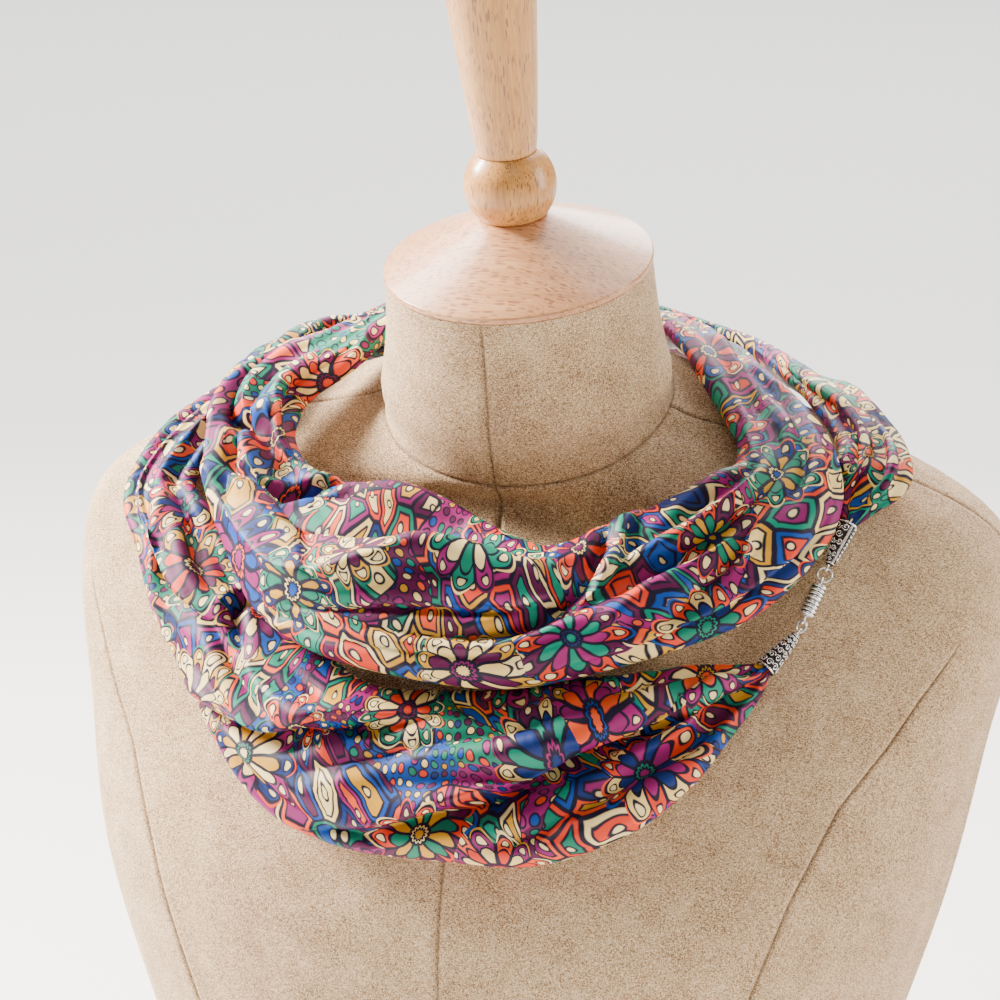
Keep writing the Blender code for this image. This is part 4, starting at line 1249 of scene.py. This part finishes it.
def makeCap(side, place, ribbed):
    length, mouth = chain["coneLength"], chain["mouthRadius"]
    inside = mouth - chain["wall"]
    profile = [(inside - 0.5, chain["depth"]), (inside, 0), (mouth - 0.1, 0), (mouth, 0.2)]
    profile += [(coneRadius(level), level) for level in np.linspace(0.6, length - 0.5, 14)]
    profile += [(chain["tipRadius"] * 0.7, length), (0.2, length)]
    cone = turnedPiece("cone", profile, 40, place)
    cone.data.materials.append(darkSilver)
    pieces = [cone]
    rib, plain = chain["ribTurn"], chain["plainArc"]
    for index, (height, size) in enumerate(chain["scrollRows"]):
        count = max(5, round(2 * math.pi * coneRadius(height) / (2.05 * size)))
        for step in range(count):
            turn = 2 * math.pi * (step + 0.5 * (index % 2)) / count
            fromRib = (rib - turn + math.pi) % (2 * math.pi) - math.pi
            if ribbed and -0.3 < fromRib < plain:
                continue
            pieces.append(scroll(place, turn, height, size, 1 if (step + index) % 2 else -1))
    if ribbed:
        # one plain rib down the cone, and a row of short slanting bars beside it
        levels = np.linspace(0.1, length - 0.3, 20)
        pieces.append(barOnCone(place, [rib] * 20, levels, 0.15, 0.62))
        turns = np.linspace(rib - 0.42, rib - plain + 0.15, 6)
        for height in np.arange(1.6, length - 1.5, chain["barPitch"]):
            pieces.append(barOnCone(place, turns, np.linspace(height - 0.5, height + 0.6, 6), 0.1, 0.52))
    around = np.linspace(0, 2 * math.pi, 41)
    for level, wire in chain["rims"]:
        pieces.append(barOnCone(place, around, [level] * len(around), 0.0, wire))
    reach = length + chain["eyeRadius"] - chain["eyeSink"]
    eyePlace = place @ Matrix.Translation((0, 0, reach * mm))
    pieces.append(wireRing("eye", eyePlace, chain["eyeRadius"], chain["eyeWire"]))
    finishMetal("end_cap_" + side, pieces)
    return place @ Vector((0, 0, reach * mm))


def makeClaspHalf(side, place, room):
    half = room - chain["eyeRadius"] + chain["eyeWire"] / 2
    radius, groove, ribs = chain["claspRadius"], chain["groove"], chain["ribs"]
    pitch = (half - chain["claspEnd"]) / ribs
    profile = [(0.3, 0.15), (radius - 0.25, 0.15), (radius - 0.05, 0.35)]
    for index in range(ribs):
        low = 0.35 + pitch * index
        for step in range(9):
            part = step / 8
            bulge = math.sin(math.pi * part) ** 0.5
            profile.append((radius - groove + groove * bulge, low + pitch * (0.06 + 0.80 * part)))
    profile += [(radius - 0.5, half - 0.55), (radius - 1.0, half - 0.15), (radius * 0.5, half), (0.3, half)]
    barrel = turnedPiece("barrel", profile, 40, place)
    barrel.data.materials.append(brightSilver)
    barrel.data.materials.append(darkSilver)
    back = place.inverted()
    for face in barrel.data.polygons:
        spot = back @ face.center
        between = 0.4 * mm < spot.z < (half - 0.7) * mm
        if between and math.hypot(spot.x, spot.y) < (radius - 0.72 * groove) * mm:
            face.material_index = 1
    eyePlace = place @ Matrix.Translation((0, 0, room * mm))
    eye = wireRing("eye", eyePlace, chain["eyeRadius"], chain["eyeWire"])
    finishMetal("clasp_" + side, [barrel, eye])


def makeChain():
    tips = []
    for side, row in (("upper", scarfRows[-1]), ("lower", scarfRows[0])):
        silkEnd = Vector(aboveForm(row.turn, row.station, row.lift))
        axis = (Vector(aboveForm(*chain[side + "Tip"], chain["lift"])) - silkEnd).normalized()
        out = formNormals(row.station, math.radians(row.turn))
        place = frameAt(silkEnd - axis * chain["silkInCone"] * mm, axis, out)
        tips.append(makeCap(side, place, side == "upper"))
    upper, lower = tips
    line = (lower - upper).normalized()
    turn, station = chain["upperTip"]
    out = Vector(formNormals(station, math.radians(turn)))
    ring, link = chain["ringRadius"], chain["linkRadius"]
    for node, centre, radius, squeeze in (
        ("jump_ring", upper + line * ring * mm, ring, 1.0),
        ("oval_link", lower - line * link * mm, link, chain["linkWidth"]),
    ):
        place = frameAt(centre, line, line.cross(out))
        finishMetal(node, [wireRing(node, place, radius, chain["ringWire"], squeeze)])
    firstEye = upper + line * 2 * ring * mm
    lastEye = lower - line * 2 * link * mm
    middle, room = (firstEye + lastEye) / 2, (lastEye - firstEye).length / mm / 2
    makeClaspHalf("upper", frameAt(middle, -line, out), room)
    makeClaspHalf("lower", frameAt(middle, line, out), room)
    print("chain made")


makeChain()


# Stage, lights and camera

stage = {
    "floor": (0.80, 0.79, 0.77, 1),
    "sky": (0.95, 0.97, 1.0, 1),
    "skyStrength": 0.15,
    "aim": (0, -0.02, 0.5),
    "lights": [  # place, size, watts and colour
        ("key", (-1.7, -0.1, 1.5), (0.4, 0.6), 245, (1, 0.95, 0.88)),
        ("sky", (-1.35, 0.4, 2.1), (0.7, 0.9), 60, (1, 0.98, 0.96)),
        ("window", (-0.35, 1.7, 1.45), (1.2, 1.0), 48, (1, 0.97, 0.93)),
        ("side", (1.7, 0.3, 1.0), (0.7, 1.2), 30, (1, 0.92, 0.82)),
        ("front", (0.7, -1.8, 2.1), (1.2, 1.2), 6, (1, 0.95, 0.89)),
    ],
    "wash": ((-1.5, 5.0, 5), (10, 9), 1450, (1, 0.99, 0.98)),  # on the floor behind
    "washAim": (-1.5, 5.01, 0),
}

camera = {
    "azimuth": 16.5,  # degrees round from the front, towards +X
    "elevation": 12.5,
    "roll": 0.85,
    "lens": 150,
    "place": (0.4622, -1.6136, 0.8817),
}


def addLight(aim, name, place, size, power, colour):
    data = bpy.data.lights.new(name, "AREA")
    data.shape = "RECTANGLE"
    data.size, data.size_y = size
    data.energy = power
    data.color = colour
    obj = bpy.data.objects.new(name, data)
    obj.location = place
    obj.rotation_euler = (Vector(aim) - Vector(place)).to_track_quat("-Z", "Y").to_euler()
    bpy.context.scene.collection.objects.link(obj)


def makeStage():
    deselectAll()
    bpy.ops.mesh.primitive_plane_add(size=60, location=(0, 0, 0))
    floor = bpy.context.object
    floor.name = "floor"
    material, _, shader = startMaterial("floor_paint", 0.9)
    shader.inputs["Base Color"].default_value = stage["floor"]
    floor.data.materials.append(material)
    world = bpy.context.scene.world or bpy.data.worlds.new("World")
    bpy.context.scene.world = world
    world.use_nodes = True
    background = world.node_tree.nodes["Background"]
    background.inputs[0].default_value = stage["sky"]
    background.inputs[1].default_value = stage["skyStrength"]
    for light in stage["lights"]:
        addLight(stage["aim"], *light)
    addLight(stage["washAim"], "wash", *stage["wash"])
    data = bpy.data.cameras.new("camera")
    data.lens = camera["lens"]
    eye = bpy.data.objects.new("camera", data)
    bpy.context.scene.collection.objects.link(eye)
    turn = Matrix.Rotation(math.radians(camera["azimuth"]), 4, "Z")
    turn = turn @ Matrix.Rotation(math.radians(90 - camera["elevation"]), 4, "X")
    turn = turn @ Matrix.Rotation(math.radians(camera["roll"]), 4, "Z")
    eye.matrix_world = Matrix.Translation(camera["place"]) @ turn
    bpy.context.scene.camera = eye
    print("stage set")


makeStage()
